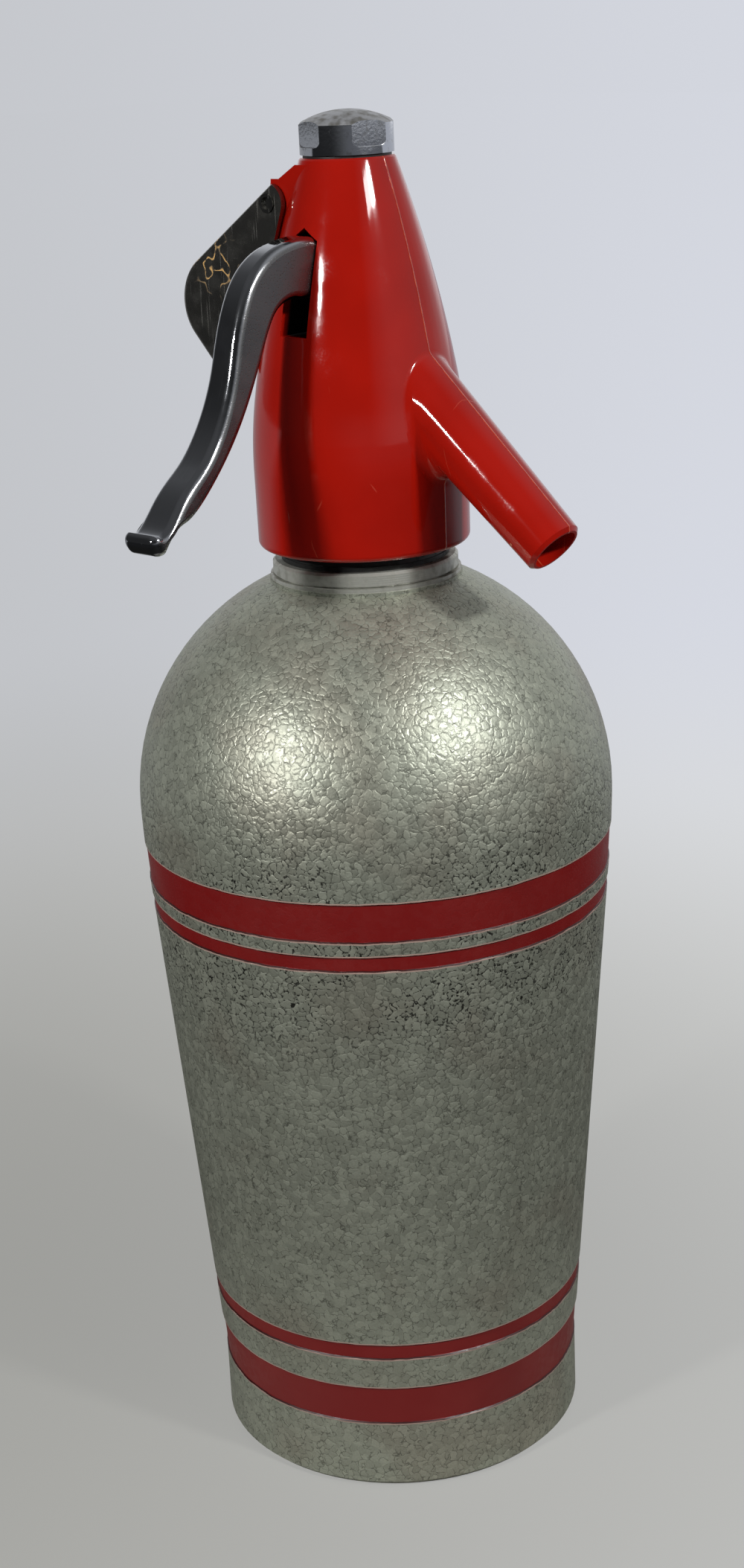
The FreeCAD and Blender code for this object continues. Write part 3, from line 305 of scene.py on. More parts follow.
@dataclass(frozen=True)
class Hammertone:
    """Hammer-effect enamel sprayed over aluminium.

    Leafing aluminium in the paint draws together into shallow cells of about 2 mm as it dries.
    Each cell is a low blister that leans its own way, so that some catch a lamp and others
    don't, and the resin between them shows as fine dark edges. The bands are brushed into
    shallow rings afterwards, in a smooth dull red.
    """

    skin: str = "#B1B5A5"
    stain: str = "#978A7B"
    seam: str = "#3C3C34"
    speck: str = "#1C1C17"
    band: str = "#821414"
    band_worn: str = "#8C2220"
    # The dark line inside each band's edge is a painted shadow under the step; the pale line
    # outside it is partly worn bare metal and partly painted highlight.
    band_shadow: str = "#3A0C0A"
    band_edge_highlight: str = "#B59C90"
    bare: str = "#A8A8A2"
    metallic: float = 0.58
    dirty_metallic: float = 0.1
    roughness: Span = (0.40, 0.50)
    band_smoothness: float = 0.06
    # Cells. A rim span is a distance from the cell's edge, as a share of the cell.
    cell_mm: float = 1.7
    cell_unevenness: float = 0.9
    cell_shades: Span = (0.9, 1.08)
    drift_mm: float = 2.2
    drifts_per_mm: float = 0.55
    blister_mm: float = 0.045
    blister_rim: Span = (0.0, 0.26)
    lean: float = 1.7
    seam_rim: Span = (0.01, 0.07)
    seam_gaps: Patches = Patches(1.6, 2.0, 0.38, 0.56)
    seam_share: float = 0.6
    # Grain in the paint, brownish clouds on it and dirt in it.
    grain: Patches = Patches(0.35, 2.0, 0.3, 0.7)
    grain_shades: Span = (0.92, 1.06)
    grain_height: float = 0.10
    clouds: Patches = Patches(26.0, 3.0, 0.45, 0.72)
    cloud_share: float = 0.35
    dirt_starts_mm: Span = (98.0, 130.0)
    dirt_ends_mm: Span = (156.0, 180.0)
    dirt_zones: Patches = Patches(15.0, 2.0, 0.34, 0.52)
    dirt_crumbs: Patches = Patches(0.75, 1.0, 0.5, 0.56)
    dirt_rim: Span = (0.04, 0.12)
    dirt_depth: float = 0.4
    fleck_apart_mm: float = 24.0
    fleck_reach: Span = (0.045, 0.055)
    fleck_fray: float = 0.05
    fleck_fray_mm: float = 0.9
    # Bands.
    band_wander_mm: float = 0.56
    band_wander_size_mm: float = 6.0
    # Width of the pale edge line: worn bare metal and painted highlight.
    band_edge_highlight_mm: float = 0.32
    band_shadow_mm: float = 0.3
    band_wear: Patches = Patches(14.0, 2.0, 0.35, 0.7)
    band_wear_share: float = 0.5
    inner_side_mm: Span = (-2.0, -0.5)

    def in_bands(self, ground: Ground, height: Socket, grow_mm: float) -> Socket:
        """Tell where the bands are.

        Args:
            ground: the finish that is being made.
            height: place along Z, in millimetres.
            grow_mm: how far each band is widened at both edges.

        Returns:
            1 on a band and 0 elsewhere.
        """
        total: Any = 0.0
        for band in Band:
            low, high = band.value
            here = ground.maths("COMPARE", height, (low + high) / 2, (high - low) / 2 + grow_mm)
            total = ground.plus(total, here)
        return total

    def warp(self, ground: Ground) -> Socket:
        """Return the place with a wandering drift, which gives the cells uneven outlines."""
        inputs = {"Vector": ground.place, "Scale": self.drifts_per_mm, "Detail": SOFT}
        drift = ground.add("ShaderNodeTexNoise", inputs).outputs["Color"]
        shift = ground.vector("SUBTRACT", drift, MIDDLE)
        return ground.vector("MULTIPLY_ADD", shift, (self.drift_mm,) * 3, ground.place)

    def dirt(self, ground: Ground, rim: Socket, up: Socket) -> Socket:
        """Tell where dirt sits: in the cell edges round the waist, and in a few single flecks.

        Args:
            ground: the finish that is being made.
            rim: distance from the cell's edge.
            up: place along Z, in millimetres.

        Returns:
            1 in dirt and 0 elsewhere.
        """
        starts = ground.ease(up, self.dirt_starts_mm)
        zone = ground.times(starts, ground.fade(up, self.dirt_ends_mm))
        zone = ground.times(zone, ground.patches(self.dirt_zones))
        crumbs = ground.times(ground.fade(rim, self.dirt_rim), ground.patches(self.dirt_crumbs))
        fray = ground.times(ground.noise(self.fleck_fray_mm), self.fleck_fray)
        away = ground.plus(ground.spots(self.fleck_apart_mm), fray)
        flecks = ground.fade(away, self.fleck_reach)
        return ground.larger(ground.times(crumbs, zone), flecks)

    def build(self) -> bpy.types.Material:
        """Make the material."""
        ground = Ground.start("hammertone_enamel_on_aluminium")
        across, along, up = ground.parts(ground.place)

        # Cells: each has its own shade and lean, and its middle stands proud of its rim.
        warped = self.warp(ground)
        inputs = {
            "Vector": warped,
            "Scale": 1 / self.cell_mm,
            "Randomness": self.cell_unevenness,
        }
        cell = ground.add("ShaderNodeTexVoronoi", inputs)
        edges = ground.add("ShaderNodeTexVoronoi", inputs, feature="DISTANCE_TO_EDGE")
        rim = edges.outputs["Distance"]
        shade = ground.add("ShaderNodeSeparateColor", {0: cell.outputs["Color"]}).outputs[0]
        within = ground.vector("SUBTRACT", warped, cell.outputs["Position"])
        way = ground.vector("SUBTRACT", cell.outputs["Color"], MIDDLE)
        tilt = ground.vector("DOT_PRODUCT", within, way, output="Value")
        blister = ground.plus(ground.ease(rim, self.blister_rim), ground.times(tilt, self.lean))
        seams = ground.times(ground.fade(rim, self.seam_rim), ground.patches(self.seam_gaps))

        # Colour: silver grey-green with brownish clouds, dark cell edges and dirt.
        clouds = ground.patches(self.clouds, end=self.cloud_share)
        colour = ground.mix(clouds, linear(self.skin), linear(self.stain))
        cell_shade = ground.ease(shade, WHOLE, *self.cell_shades)
        level = ground.times(cell_shade, ground.patches(self.grain, *self.grain_shades))
        grey = ground.add("ShaderNodeCombineColor", {0: level, 1: level, 2: level}).outputs[0]
        colour = ground.mix(1.0, colour, grey, "MULTIPLY")
        colour = ground.mix(ground.times(seams, self.seam_share), colour, linear(self.seam))
        dirt = self.dirt(ground, rim, up)
        colour = ground.mix(dirt, colour, linear(self.speck))

        # Bands with a painted shadow line inside each edge, and a pale line outside it that is
        # partly worn bare metal and partly painted highlight where the edge catches the light.
        wander = ground.minus(ground.noise(self.band_wander_size_mm), HALF)
        height = ground.plus(up, ground.times(wander, self.band_wander_mm))
        lined = self.in_bands(ground, height, self.band_edge_highlight_mm)
        colour = ground.mix(lined, colour, linear(self.band_edge_highlight))
        band = self.in_bands(ground, height, 0.0)
        colour = ground.mix(band, colour, linear(self.band_shadow))
        wear = ground.patches(self.band_wear, end=self.band_wear_share)
        reds = ground.mix(wear, linear(self.band), linear(self.band_worn))
        colour = ground.mix(self.in_bands(ground, height, -self.band_shadow_mm), colour, reds)

        # Inside the bottle the aluminium is bare.
        face_x, face_y, _ = ground.parts(ground.normal)
        outward = ground.plus(ground.times(face_x, across), ground.times(face_y, along))
        inside = ground.fade(outward, self.inner_side_mm)
        colour = ground.mix(inside, colour, linear(self.bare))

        raised = ground.times(blister, ground.minus(1.0, ground.larger(lined, inside)))
        grain = ground.noise(self.grain.size_mm, self.grain.detail)
        raised = ground.plus(raised, ground.times(grain, self.grain_height))
        raised = ground.minus(raised, ground.times(dirt, self.dirt_depth))
        shine = ground.ease(dirt, WHOLE, self.metallic, self.dirty_metallic)
        rough = ground.ease(shade, WHOLE, *self.roughness)
        rough = ground.plus(rough, ground.times(lined, -self.band_smoothness))
        return ground.finish(
            {
                "Base Color": colour,
                "Metallic": ground.times(ground.minus(1.0, lined), shine),
                "Roughness": rough,
                "Normal": ground.relief(raised, self.blister_mm),
            }
        )


@dataclass(frozen=True)
class GlossEnamel:
    """Stoved red enamel over a zinc die casting.

    The enamel flows out glossy with a faint orange peel, so lamps show as sharp white streaks.
    Years of handling leave hazy scuffs, hair scratches and small chips, and the mould's parting
    line shows through as a thin pale ridge in the plane of the spout. The spigot was cut after
    painting: it is bare, dull and dirty. The lever's slot is painted near black, which is painted
    shade in the recess, and deep in the spout's bore the casting is drawn bare, dull and dirty,
    which also paints the shade in the bore.
    """

    colour: str = "#AC170B"
    deep: str = "#9A1308"
    chip: str = "#D98A6A"
    scratch: str = "#D65B45"
    ridge_colour: str = "#DD5A38"
    # Bare metal grey, also used deep in the spout's bore, where it stands in for shade.
    bare: str = "#6E6B66"
    # Near black: dirt on the bare metal, and painted shade inside the lever's slot.
    dirt: str = "#141210"
    clouds: Patches = Patches(18.0, 2.0, 0.35, 0.7)
    cloud_share: float = 0.5
    ior: float = 1.5
    roughness: float = 0.06
    bare_roughness: float = 0.55
    haze: Patches = Patches(11.0, 3.0, 0.5, 0.72)
    haze_grain: Patches = Patches(0.5, 2.0, 0.4, 0.7)
    haze_least: float = 0.4
    haze_roughness: float = 0.14
    peel_mm: float = 3.2
    peel_height_mm: float = 0.005
    # Scratches and chips.
    waves_per_mm: float = 0.045
    wave_distortion: float = 12.0
    wave_detail: Span = (3.0, 0.5)
    scratch_crest: Span = (0.998, 0.9999)
    scratch_zones: Patches = Patches(9.0, 1.0, 0.64, 0.7)
    scratch_share: float = 0.35
    chip_apart_mm: float = 13.0
    chip_reach: Span = (0.022, 0.032)
    chip_depth_mm: float = 0.02
    # Parting line, on the side of the spout only.
    ridge_half_mm: Span = (0.104, 0.26)
    ridge_starts_mm: Span = (6.0, 8.0)
    ridge_patches: Patches = Patches(2.5, 2.0, 0.35, 0.6)
    ridge_shares: Span = (0.25, 0.8)
    ridge_height_mm: float = 0.12
    # Bare places, and places painted dark as shade.
    cone_foot_mm: Span = (22.9, 253.45)
    cone_slope: float = 0.2431
    skin_mm: Span = (-1.6, -0.5)
    slot_front_mm: Span = (-6.0, -5.0)
    spigot_top_mm: Span = (220.0, 220.4)
    spout_mouth_mm: Point = (54.0, 0.0, 224.25)
    spout_way: Point = (0.757, 0.0, -0.6534)
    bore_radius_mm: Span = (5.3, 5.6)
    bore_starts_mm: Span = (24.0, 26.0)
    bore_ends_mm: Span = (45.0, 48.0)
    metal_dirt: Patches = Patches(1.5, 3.0, 0.35, 0.6)

    def bare_or_shaded(self, ground: Ground) -> Socket:
        """Tell where the casting is bare or painted dark as shade: under its outer skin in the
        lever's slot and on the spigot, and deep in the spout's bore.

        Args:
            ground: the finish that is being made.

        Returns:
            1 where it is bare or painted dark, and 0 on the enamel.
        """
        across, along, up = ground.parts(ground.place)
        radius, level = self.cone_foot_mm
        cone = ground.maths("MULTIPLY_ADD", ground.minus(up, level), -self.cone_slope, radius)
        limit = ground.maths("MINIMUM", cone, radius)
        below = ground.minus(ground.reach(across, along), limit)
        front = ground.fade(along, self.slot_front_mm)
        open_side = ground.larger(front, ground.fade(up, self.spigot_top_mm))
        within = ground.times(ground.fade(below, self.skin_mm), open_side)
        offset = ground.vector("SUBTRACT", ground.place, self.spout_mouth_mm)
        aside = ground.vector("CROSS_PRODUCT", offset, self.spout_way)
        aside = ground.vector("LENGTH", aside, output="Value")
        starts = ground.ease(across, self.bore_starts_mm)
        deep = ground.times(starts, ground.fade(across, self.bore_ends_mm))
        return ground.larger(within, ground.times(ground.fade(aside, self.bore_radius_mm), deep))

    def scratches(self, ground: Ground) -> Socket:
        """Return hair scratches: thin crests of a distorted wave, kept in a few patches."""
        detail, detail_scale = self.wave_detail
        inputs = {
            "Vector": ground.place,
            "Scale": self.waves_per_mm,
            "Distortion": self.wave_distortion,
            "Detail": detail,
            "Detail Scale": detail_scale,
        }
        wave = ground.add("ShaderNodeTexWave", inputs, bands_direction="X").outputs[1]
        crests = ground.ease(wave, self.scratch_crest)
        return ground.times(crests, ground.patches(self.scratch_zones))

    def build(self) -> bpy.types.Material:
        """Make the material."""
        ground = Ground.start("stoved_enamel_on_zinc_casting")
        across, along, _ = ground.parts(ground.place)
        clouds = ground.patches(self.clouds, end=self.cloud_share)
        colour = ground.mix(clouds, linear(self.colour), linear(self.deep))
        lines = self.scratches(ground)
        shown = ground.times(lines, self.scratch_share)
        colour = ground.mix(shown, colour, linear(self.scratch))
        chips = ground.fade(ground.spots(self.chip_apart_mm), self.chip_reach)
        colour = ground.mix(chips, colour, linear(self.chip))

        middle = ground.fade(ground.magnitude(along), self.ridge_half_mm)
        ridge = ground.times(middle, ground.ease(across, self.ridge_starts_mm))
        # The ridge is coloured a paler orange in patches.
        worn = ground.times(ridge, ground.patches(self.ridge_patches, *self.ridge_shares))
        colour = ground.mix(worn, colour, linear(self.ridge_colour))

        # The spigot is bare metal; the slot's inside is painted near black as painted shade, and
        # the deep bore drawn bare and dirty stands in for its shade too.
        bare = self.bare_or_shaded(ground)
        metal_dirt = ground.patches(self.metal_dirt)
        metal = ground.mix(metal_dirt, linear(self.bare), linear(self.dirt))
        # Painted shade: the inside of the slot is made near black.
        slot = ground.fade(along, self.slot_front_mm)
        metal = ground.mix(slot, metal, linear(self.dirt))
        colour = ground.mix(bare, colour, metal)

        haze_grain = ground.patches(self.haze_grain, start=self.haze_least)
        haze = ground.times(ground.patches(self.haze), haze_grain)
        rough = ground.plus(self.roughness, ground.times(haze, self.haze_roughness))
        rough = ground.larger(rough, ground.times(bare, self.bare_roughness))
        peel = ground.relief(ground.noise(self.peel_mm, SMOOTH), self.peel_height_mm)
        sound = ground.minus(1.0, ground.larger(chips, lines))
        dents = ground.relief(sound, self.chip_depth_mm, peel)
        return ground.finish(
            {
                "Base Color": colour,
                "Roughness": rough,
                "IOR": self.ior,
                "Normal": ground.relief(ridge, self.ridge_height_mm, dents),
            }
        )


class Wear(Enum):
    """How far a plated surface has worn: roughness, pit share and scratch share."""

    POLISHED = (0.07, 0.10, 0.25)
    HANDLED = (0.13, 0.35, 0.55)
    DULLED = (0.24, 0.60, 0.80)


@dataclass(frozen=True)
class Plate:
    """Chromium over nickel on a polished part.

    The plate mirrors its surroundings, greyer than silver. Pits and rubbed places scatter the
    light and turn darker, and fine scratches run in all directions.
    """

    name: str
    wear: Wear
    colour: str = "#C6C8CA"
    tarnish: str = "#5E5C58"
    worn_zones: Patches = Patches(6.0, 3.0, 0.42, 0.66)
    worn_roughness: float = 0.06
    relief_mm: float = 0.012
    pit_mm: float = 0.55
    pit_reach: Span = (0.12, 0.34)
    pit_roughness: float = 0.25
    # Faces that look along X stay as cast under the plate.
    frosted_sides: float = 0.0
    side_turn: Span = (0.80, 0.97)
    side_tarnish: float = 0.8
    side_roughness: float = 0.22
    # Painted reflection: a tangle of warm bright lines, made less metallic so that the lamps light
    # them.
    glints: str = ""
    glint_place_mm: Point = (-30.0, -12.0, 282.0)
    glint_reach_mm: Span = (3.5, 9.0)
    glint_wander_mm: float = 4.5
    glint_line: Span = (0.006, 0.032)
    glint_gaps: Patches = Patches(2.0, 2.0, 0.35, 0.55)
    glint_dulling: float = 0.8
    # Each family of scratches has a turn in radians and a length in millimetres.
    scratch_families: tuple[Span, ...] = ((0.5, 14.0), (2.1, 22.0))
    scratch_skew: float = 0.7
    scratch_width_mm: float = 0.35
    scratch_levels: Span = (0.70, 0.76)

    def build(self) -> bpy.types.Material:
        """Make the material."""
        ground = Ground.start(self.name)
        base, pitted, scratched = self.wear.value
        worn = ground.patches(self.worn_zones)
        face_x, _, _ = ground.parts(ground.normal)
        sides = ground.ease(ground.magnitude(face_x), self.side_turn, end=self.frosted_sides)
        cover = ground.larger(ground.times(worn, pitted), sides)
        pits = ground.times(ground.fade(ground.spots(self.pit_mm), self.pit_reach), cover)
        marks = ground.larger(pits, self.scratches(ground, scratched))
        tarnish = linear(self.tarnish)
        dulled = ground.times(sides, self.side_tarnish)
        colour = ground.mix(dulled, linear(self.colour), tarnish)
        colour = ground.mix(pits, colour, tarnish)
        rough = ground.plus(base, ground.times(marks, self.pit_roughness))
        rough = ground.plus(rough, ground.times(worn, self.worn_roughness))
        rough = ground.plus(rough, ground.times(sides, self.side_roughness))
        metallic: Any = 1.0
        if self.glints:
            # Painted reflection: warm bright lines laid over the plate.
            shine = self.painted_reflection_lines(ground)
            colour = ground.mix(shine, colour, linear(self.glints))
            metallic = ground.minus(1.0, ground.times(shine, self.glint_dulling))
        return ground.finish(
            {
                "Base Color": colour,
                "Metallic": metallic,
                "Roughness": rough,
                "Normal": ground.relief(ground.minus(1.0, marks), self.relief_mm),
            }
        )

    def painted_reflection_lines(self, ground: Ground) -> Socket:
        """Return a tangle of warm bright lines, painted as a reflection on the plate."""
        wander = ground.magnitude(ground.minus(ground.noise(self.glint_wander_mm, SMOOTH), HALF))
        lines = ground.times(ground.fade(wander, self.glint_line), ground.patches(self.glint_gaps))
        away = ground.vector("DISTANCE", ground.place, self.glint_place_mm, output="Value")
        return ground.times(lines, ground.fade(away, self.glint_reach_mm))

    def scratches(self, ground: Ground, share: float) -> Socket:
        """Draw families of fine crossing scratches.

        Args:
            ground: the finish that is being made.
            share: how strongly they show, from 0 to 1.

        Returns:
            The share in a scratch and 0 beside it.
        """
        found: Any = 0.0
        for turn, length_mm in self.scratch_families:
            inputs = {
                "Vector": ground.place,
                "Rotation": (turn, turn * self.scratch_skew, turn),
                "Scale": (1 / self.scratch_width_mm, 1 / length_mm, 1 / length_mm),
            }
            turned = ground.add("ShaderNodeMapping", inputs).outputs[0]
            inputs = {"Vector": turned, "Scale": 1.0, "Detail": SMOOTH}
            streak = ground.add("ShaderNodeTexNoise", inputs).outputs[0]
            found = ground.larger(found, ground.ease(streak, self.scratch_levels, end=share))
        return found


@dataclass(frozen=True)
class WornCap:
    """Plated brass cap, rubbed through on its dome.

    The sides still mirror, while the dome has worn to a dull grey with stains.
    """

    plate: str = "#CDD0D6"
    rubbed: str = "#B4B5B8"
    stain: str = "#7C7A75"
    dome_edge: Span = (0.35, 0.6)
    edge_fray: float = 0.3
    edge_fray_mm: float = 2.5
    clouds: Patches = Patches(2.2, 4.0, 0.38, 0.68)
    spots: Patches = Patches(1.3, 3.0, 0.58, 0.72)
    spot_share: float = 0.45
    spot_roughness: float = 0.2
    roughness: Span = (0.07, 0.42)
    metallic: Span = (1.0, 0.55)
    grain_mm: float = 0.6
    grain_height_mm: float = 0.006

    def build(self) -> bpy.types.Material:
        """Make the material."""
        ground = Ground.start("worn_chromium_plate_on_brass")
        _, _, upward = ground.parts(ground.normal)
        fray = ground.times(ground.noise(self.edge_fray_mm, ROUGH), self.edge_fray)
        dome = ground.ease(ground.plus(upward, fray), self.dome_edge)
        dull = ground.mix(ground.patches(self.clouds), linear(self.rubbed), linear(self.stain))
        spots = ground.times(ground.patches(self.spots), self.spot_share)
        side = ground.mix(spots, linear(self.plate), linear(self.stain))
        rough = ground.ease(dome, WHOLE, *self.roughness)
        return ground.finish(
            {
                "Base Color": ground.mix(dome, side, dull),
                "Metallic": ground.ease(dome, WHOLE, *self.metallic),
                "Roughness": ground.plus(rough, ground.times(spots, self.spot_roughness)),
                "Normal": ground.relief(ground.noise(self.grain_mm, ROUGH), self.grain_height_mm),
            }
        )


@dataclass(frozen=True)
class TurnedMetal:
    """Metal turned on a lathe: fine rings round the axis and a satin shine, dulled by handling.

    Real tool marks are finer. They are drawn about 0.5 mm apart so that they show.
    """

    name: str
    colour: str
    tarnish: str
    roughness: float = 0.3
    ring_mm: float = 0.5
    metallic: float = 1.0
    ring_height_mm: float = 0.01
    clouds: Patches = Patches(2.4, 4.0, 0.42, 0.68)
    cloud_share: float = 0.5
    cloud_roughness: float = 0.2

    def build(self) -> bpy.types.Material:
        """Make the material."""
        ground = Ground.start(self.name)
        across, along, up = ground.parts(ground.place)
        path = ground.plus(ground.reach(across, along), up)
        step = ground.times(path, 2 * math.pi / self.ring_mm)
        rings = ground.maths("MULTIPLY_ADD", ground.maths("SINE", step), HALF, HALF)
        clouds = ground.patches(self.clouds)
        shown = ground.times(clouds, self.cloud_share)
        rough = ground.plus(self.roughness, ground.times(clouds, self.cloud_roughness))
        return ground.finish(
            {
                "Base Color": ground.mix(shown, linear(self.colour), linear(self.tarnish)),
                "Metallic": self.metallic,
                "Roughness": rough,
                "Normal": ground.relief(rings, self.ring_height_mm),
            }
        )


@dataclass(frozen=True)
class Rubber:
    """Moulded nitrile rubber: matt black with a grey bloom and a little grit in it."""

    colour: str = "#1B1B1A"
    bloom: str = "#2E2F2B"
    clouds: Patches = Patches(1.8, 4.0, 0.45, 0.7)
    bloom_share: float = 0.7
    roughness: Span = (0.48, 0.72)
    grit_mm: float = 0.4
    grit_height_mm: float = 0.02

    def build(self) -> bpy.types.Material:
        """Make the material."""
        ground = Ground.start("nitrile_rubber")
        clouds = ground.patches(self.clouds)
        shown = ground.times(clouds, self.bloom_share)
        return ground.finish(
            {
                "Base Color": ground.mix(shown, linear(self.colour), linear(self.bloom)),
                "Roughness": ground.ease(clouds, WHOLE, *self.roughness),
                "Normal": ground.relief(ground.noise(self.grit_mm), self.grit_height_mm),
            }
        )


@dataclass(frozen=True)
class Polyethylene:
    """Extruded polyethylene: milky white, waxy and slightly see-through at its edges."""

    colour: str = "#DEDACB"
    aged: str = "#CFC6A8"
    clouds: Patches = Patches(12.0, 2.0, 0.4, 0.7)
    roughness: Span = (0.32, 0.42)
    translucence: float = 0.35
    depth: float = 0.0015
    wave_mm: float = 0.8
    wave_height_mm: float = 0.008

    def build(self) -> bpy.types.Material:
        """Make the material."""
        ground = Ground.start("extruded_polyethylene")
        clouds = ground.patches(self.clouds)
        return ground.finish(
            {
                "Base Color": ground.mix(clouds, linear(self.colour), linear(self.aged)),
                "Roughness": ground.ease(clouds, WHOLE, *self.roughness),
                "Subsurface Weight": self.translucence,
                "Subsurface Scale": self.depth,
                "Normal": ground.relief(ground.noise(self.wave_mm), self.wave_height_mm),
            }
        )


def dress(material: bpy.types.Material, *nodes: str) -> None:
    """Give CAD nodes their finish.

    Args:
        material: the finish that they get.
        nodes: the nodes' names.
    """
    for node in nodes:
        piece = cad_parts[node]
        piece.data.materials.clear()
        piece.data.materials.append(material)
        log.info("%s dressed in %s", node, material.name)


def deselect() -> None:
    """Leave nothing selected, so that the next operator acts on its own piece only."""
    for piece in bpy.context.selected_objects:
        piece.select_set(False)


@dataclass
class Bottle:
    """The bottle and the ring pressed into its mouth."""

    paint: Hammertone = Hammertone()
    ring: TurnedMetal = TurnedMetal(
        "turned_aluminium", "#C6C7BE", "#8B8A80", roughness=0.38, metallic=0.55
    )

    def build(self) -> None:
        """Dress the bottle and its neck ring."""
        dress(self.paint.build(), "bottle")
        dress(self.ring.build(), "neck_ring")


@dataclass
class Coil:
    """A section that is screwed round the upright axis, in metres and degrees."""

    name: str
    slot: str
    radius: float
    section_radius: float
    section_sides: int
    start_z: float
    pitch: float
    turns: int
    steps: int
    stretch: float = 1.0
    smooth_below: float = 50.0

    def build(self, material: bpy.types.Material) -> bpy.types.Object:
        """Make the coil, closed at both ends, and let it ride on the head.

        Args:
            material: finish of the coil.

        Returns:
            The finished piece.
        """
        deselect()
        place = (self.radius, 0.0, self.start_z)
        bpy.ops.mesh.primitive_circle_add(
            vertices=self.section_sides,
            radius=self.section_radius,
            location=place,
            rotation=(math.pi / 2, 0, 0),
        )
        piece = bpy.context.active_object
        piece.name = self.name
        bpy.ops.object.transform_apply(location=True, rotation=True, scale=True)
        bpy.ops.object.mode_set(mode="EDIT")
        bpy.ops.mesh.select_all(action="SELECT")
        bpy.ops.transform.resize(
            value=(1.0, 1.0, self.stretch), center_override=place, orient_type="GLOBAL"
        )
        bpy.ops.object.mode_set(mode="OBJECT")
        screw = piece.modifiers.new("screw", "SCREW")
        screw.axis, screw.angle = "Z", 2 * math.pi
        screw.screw_offset, screw.iterations = self.pitch, self.turns
        screw.steps = screw.render_steps = self.steps
        screw.use_merge_vertices = False
        bpy.ops.object.modifier_apply(modifier=screw.name)
        bpy.ops.object.mode_set(mode="EDIT")
        bpy.ops.mesh.select_all(action="SELECT")
        bpy.ops.mesh.fill_holes(sides=0)
        bpy.ops.mesh.normals_make_consistent(inside=False)
        bpy.ops.object.mode_set(mode="OBJECT")
        bpy.ops.object.shade_smooth_by_angle(angle=math.radians(self.smooth_below))
        piece.data.materials.append(material)
        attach(piece, "head")
        log.info("%s built with %d faces", piece.name, len(piece.data.polygons))
        return piece


@dataclass
class SpigotThread(Coil):
    """The screw thread on the head's spigot, which turns into the neck ring."""

    name: str = "spigot_thread"
    slot: str = "head_paint"
    radius: float = 0.01715
    section_radius: float = 0.00025
    section_sides: int = 3
    start_z: float = 0.2054
    pitch: float = 0.002
    turns: int = 5
    steps: int = 96
    stretch: float = 2.4


@dataclass
class ValveSpring(Coil):
    """The coil between the stem's collar and the roof of the cap, with its round wire."""

    name: str = "valve_spring_coil"
    slot: str = "steel"
    radius: float = 0.0035
    section_radius: float = 0.0005
    section_sides: int = 12
    start_z: float = 0.2898518
    pitch: float = 0.00356
    turns: int = 5
    steps: int = 64
    roof_z: float = 0.3082519
    valve_travel: float = 0.0031

    def build(self, material: bpy.types.Material) -> bpy.types.Object:
        """Make the coil and show it in place of the solid.

        Args:
            material: finish of the wire.

        Returns:
            The finished piece.
        """
        piece = super().build(material)
        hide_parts("valve_spring")
        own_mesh(piece)
        return piece


@dataclass
class DispensingHead:
    """The casting with its cap, pins, thread and valve spring."""

    enamel: GlossEnamel = GlossEnamel()
    cap: WornCap = WornCap()
    thread: SpigotThread = field(default_factory=SpigotThread)
    spring: ValveSpring = field(default_factory=ValveSpring)
    zinc: TurnedMetal = TurnedMetal(
        "machined_zinc", "#9A9A98", "#5B5A56", roughness=0.34, ring_mm=0.4
    )
    steel: Plate = Plate("nickelled_steel", Wear.HANDLED, "#B0AEA8", "#55524C")

    def build(self) -> None:
        """Dress the casting, its cap and its pins, cut the thread and wind the spring."""
        dress(self.enamel.build(), "head_housing")
        dress(self.cap.build(), "top_cap")
        steel = self.steel.build()
        dress(steel, "lever_pin", "hood_pin", "piercing_pin", "valve_spring")
        self.thread.build(self.zinc.build())
        self.spring.build(steel)


@dataclass
class SqueezeLever:
    """The cast lever that lifts the valve."""

    plate: Plate = Plate(
        "chromium_plated_casting", Wear.POLISHED, "#B4B6BA", frosted_sides=0.9
    )

    def build(self) -> None:
        """Dress the lever."""
        dress(self.plate.build(), "lever")


@dataclass
class ChargerHood:
    """The pressed hood that holds the gas charger."""

    plate: Plate = Plate(
        "chromium_plated_sheet", Wear.DULLED, "#92908A", "#504C46", glints="#FFCC80"
    )

    def build(self) -> None:
        """Dress the hood."""
        dress(self.plate.build(), "charger_hood")


@dataclass
class Fittings:
    """The seals and brass parts inside the head, and the water tube."""

    rubber: Rubber = Rubber()
    brass: TurnedMetal = TurnedMetal(
        "turned_brass", "#C9A45A", "#7B6432", roughness=0.24, ring_mm=0.4
    )
    tube: Polyethylene = Polyethylene()

    def build(self) -> None:
        """Dress the seals, the brass parts and the tube."""
        rubber = self.rubber.build()
        dress(rubber, "neck_gasket", "cap_gasket", "valve_washer", "stem_packing")
        dress(rubber, "tube_seal", "charger_seal", "check_sleeve")
        brass = self.brass.build()
        dress(brass, "valve_stem", "valve_seat", "gland_bush", "gland_nut")
        dress(brass, "pin_holder", "gas_nipple")
        dress(self.tube.build(), "dip_tube", "tube_nut")


@dataclass(frozen=True)
class Lamp:
    """A flat lamp: its name, its place and sides in metres, and its power in watts."""

    name: str
    place: Point
    width: float
    height: float
    watts: float


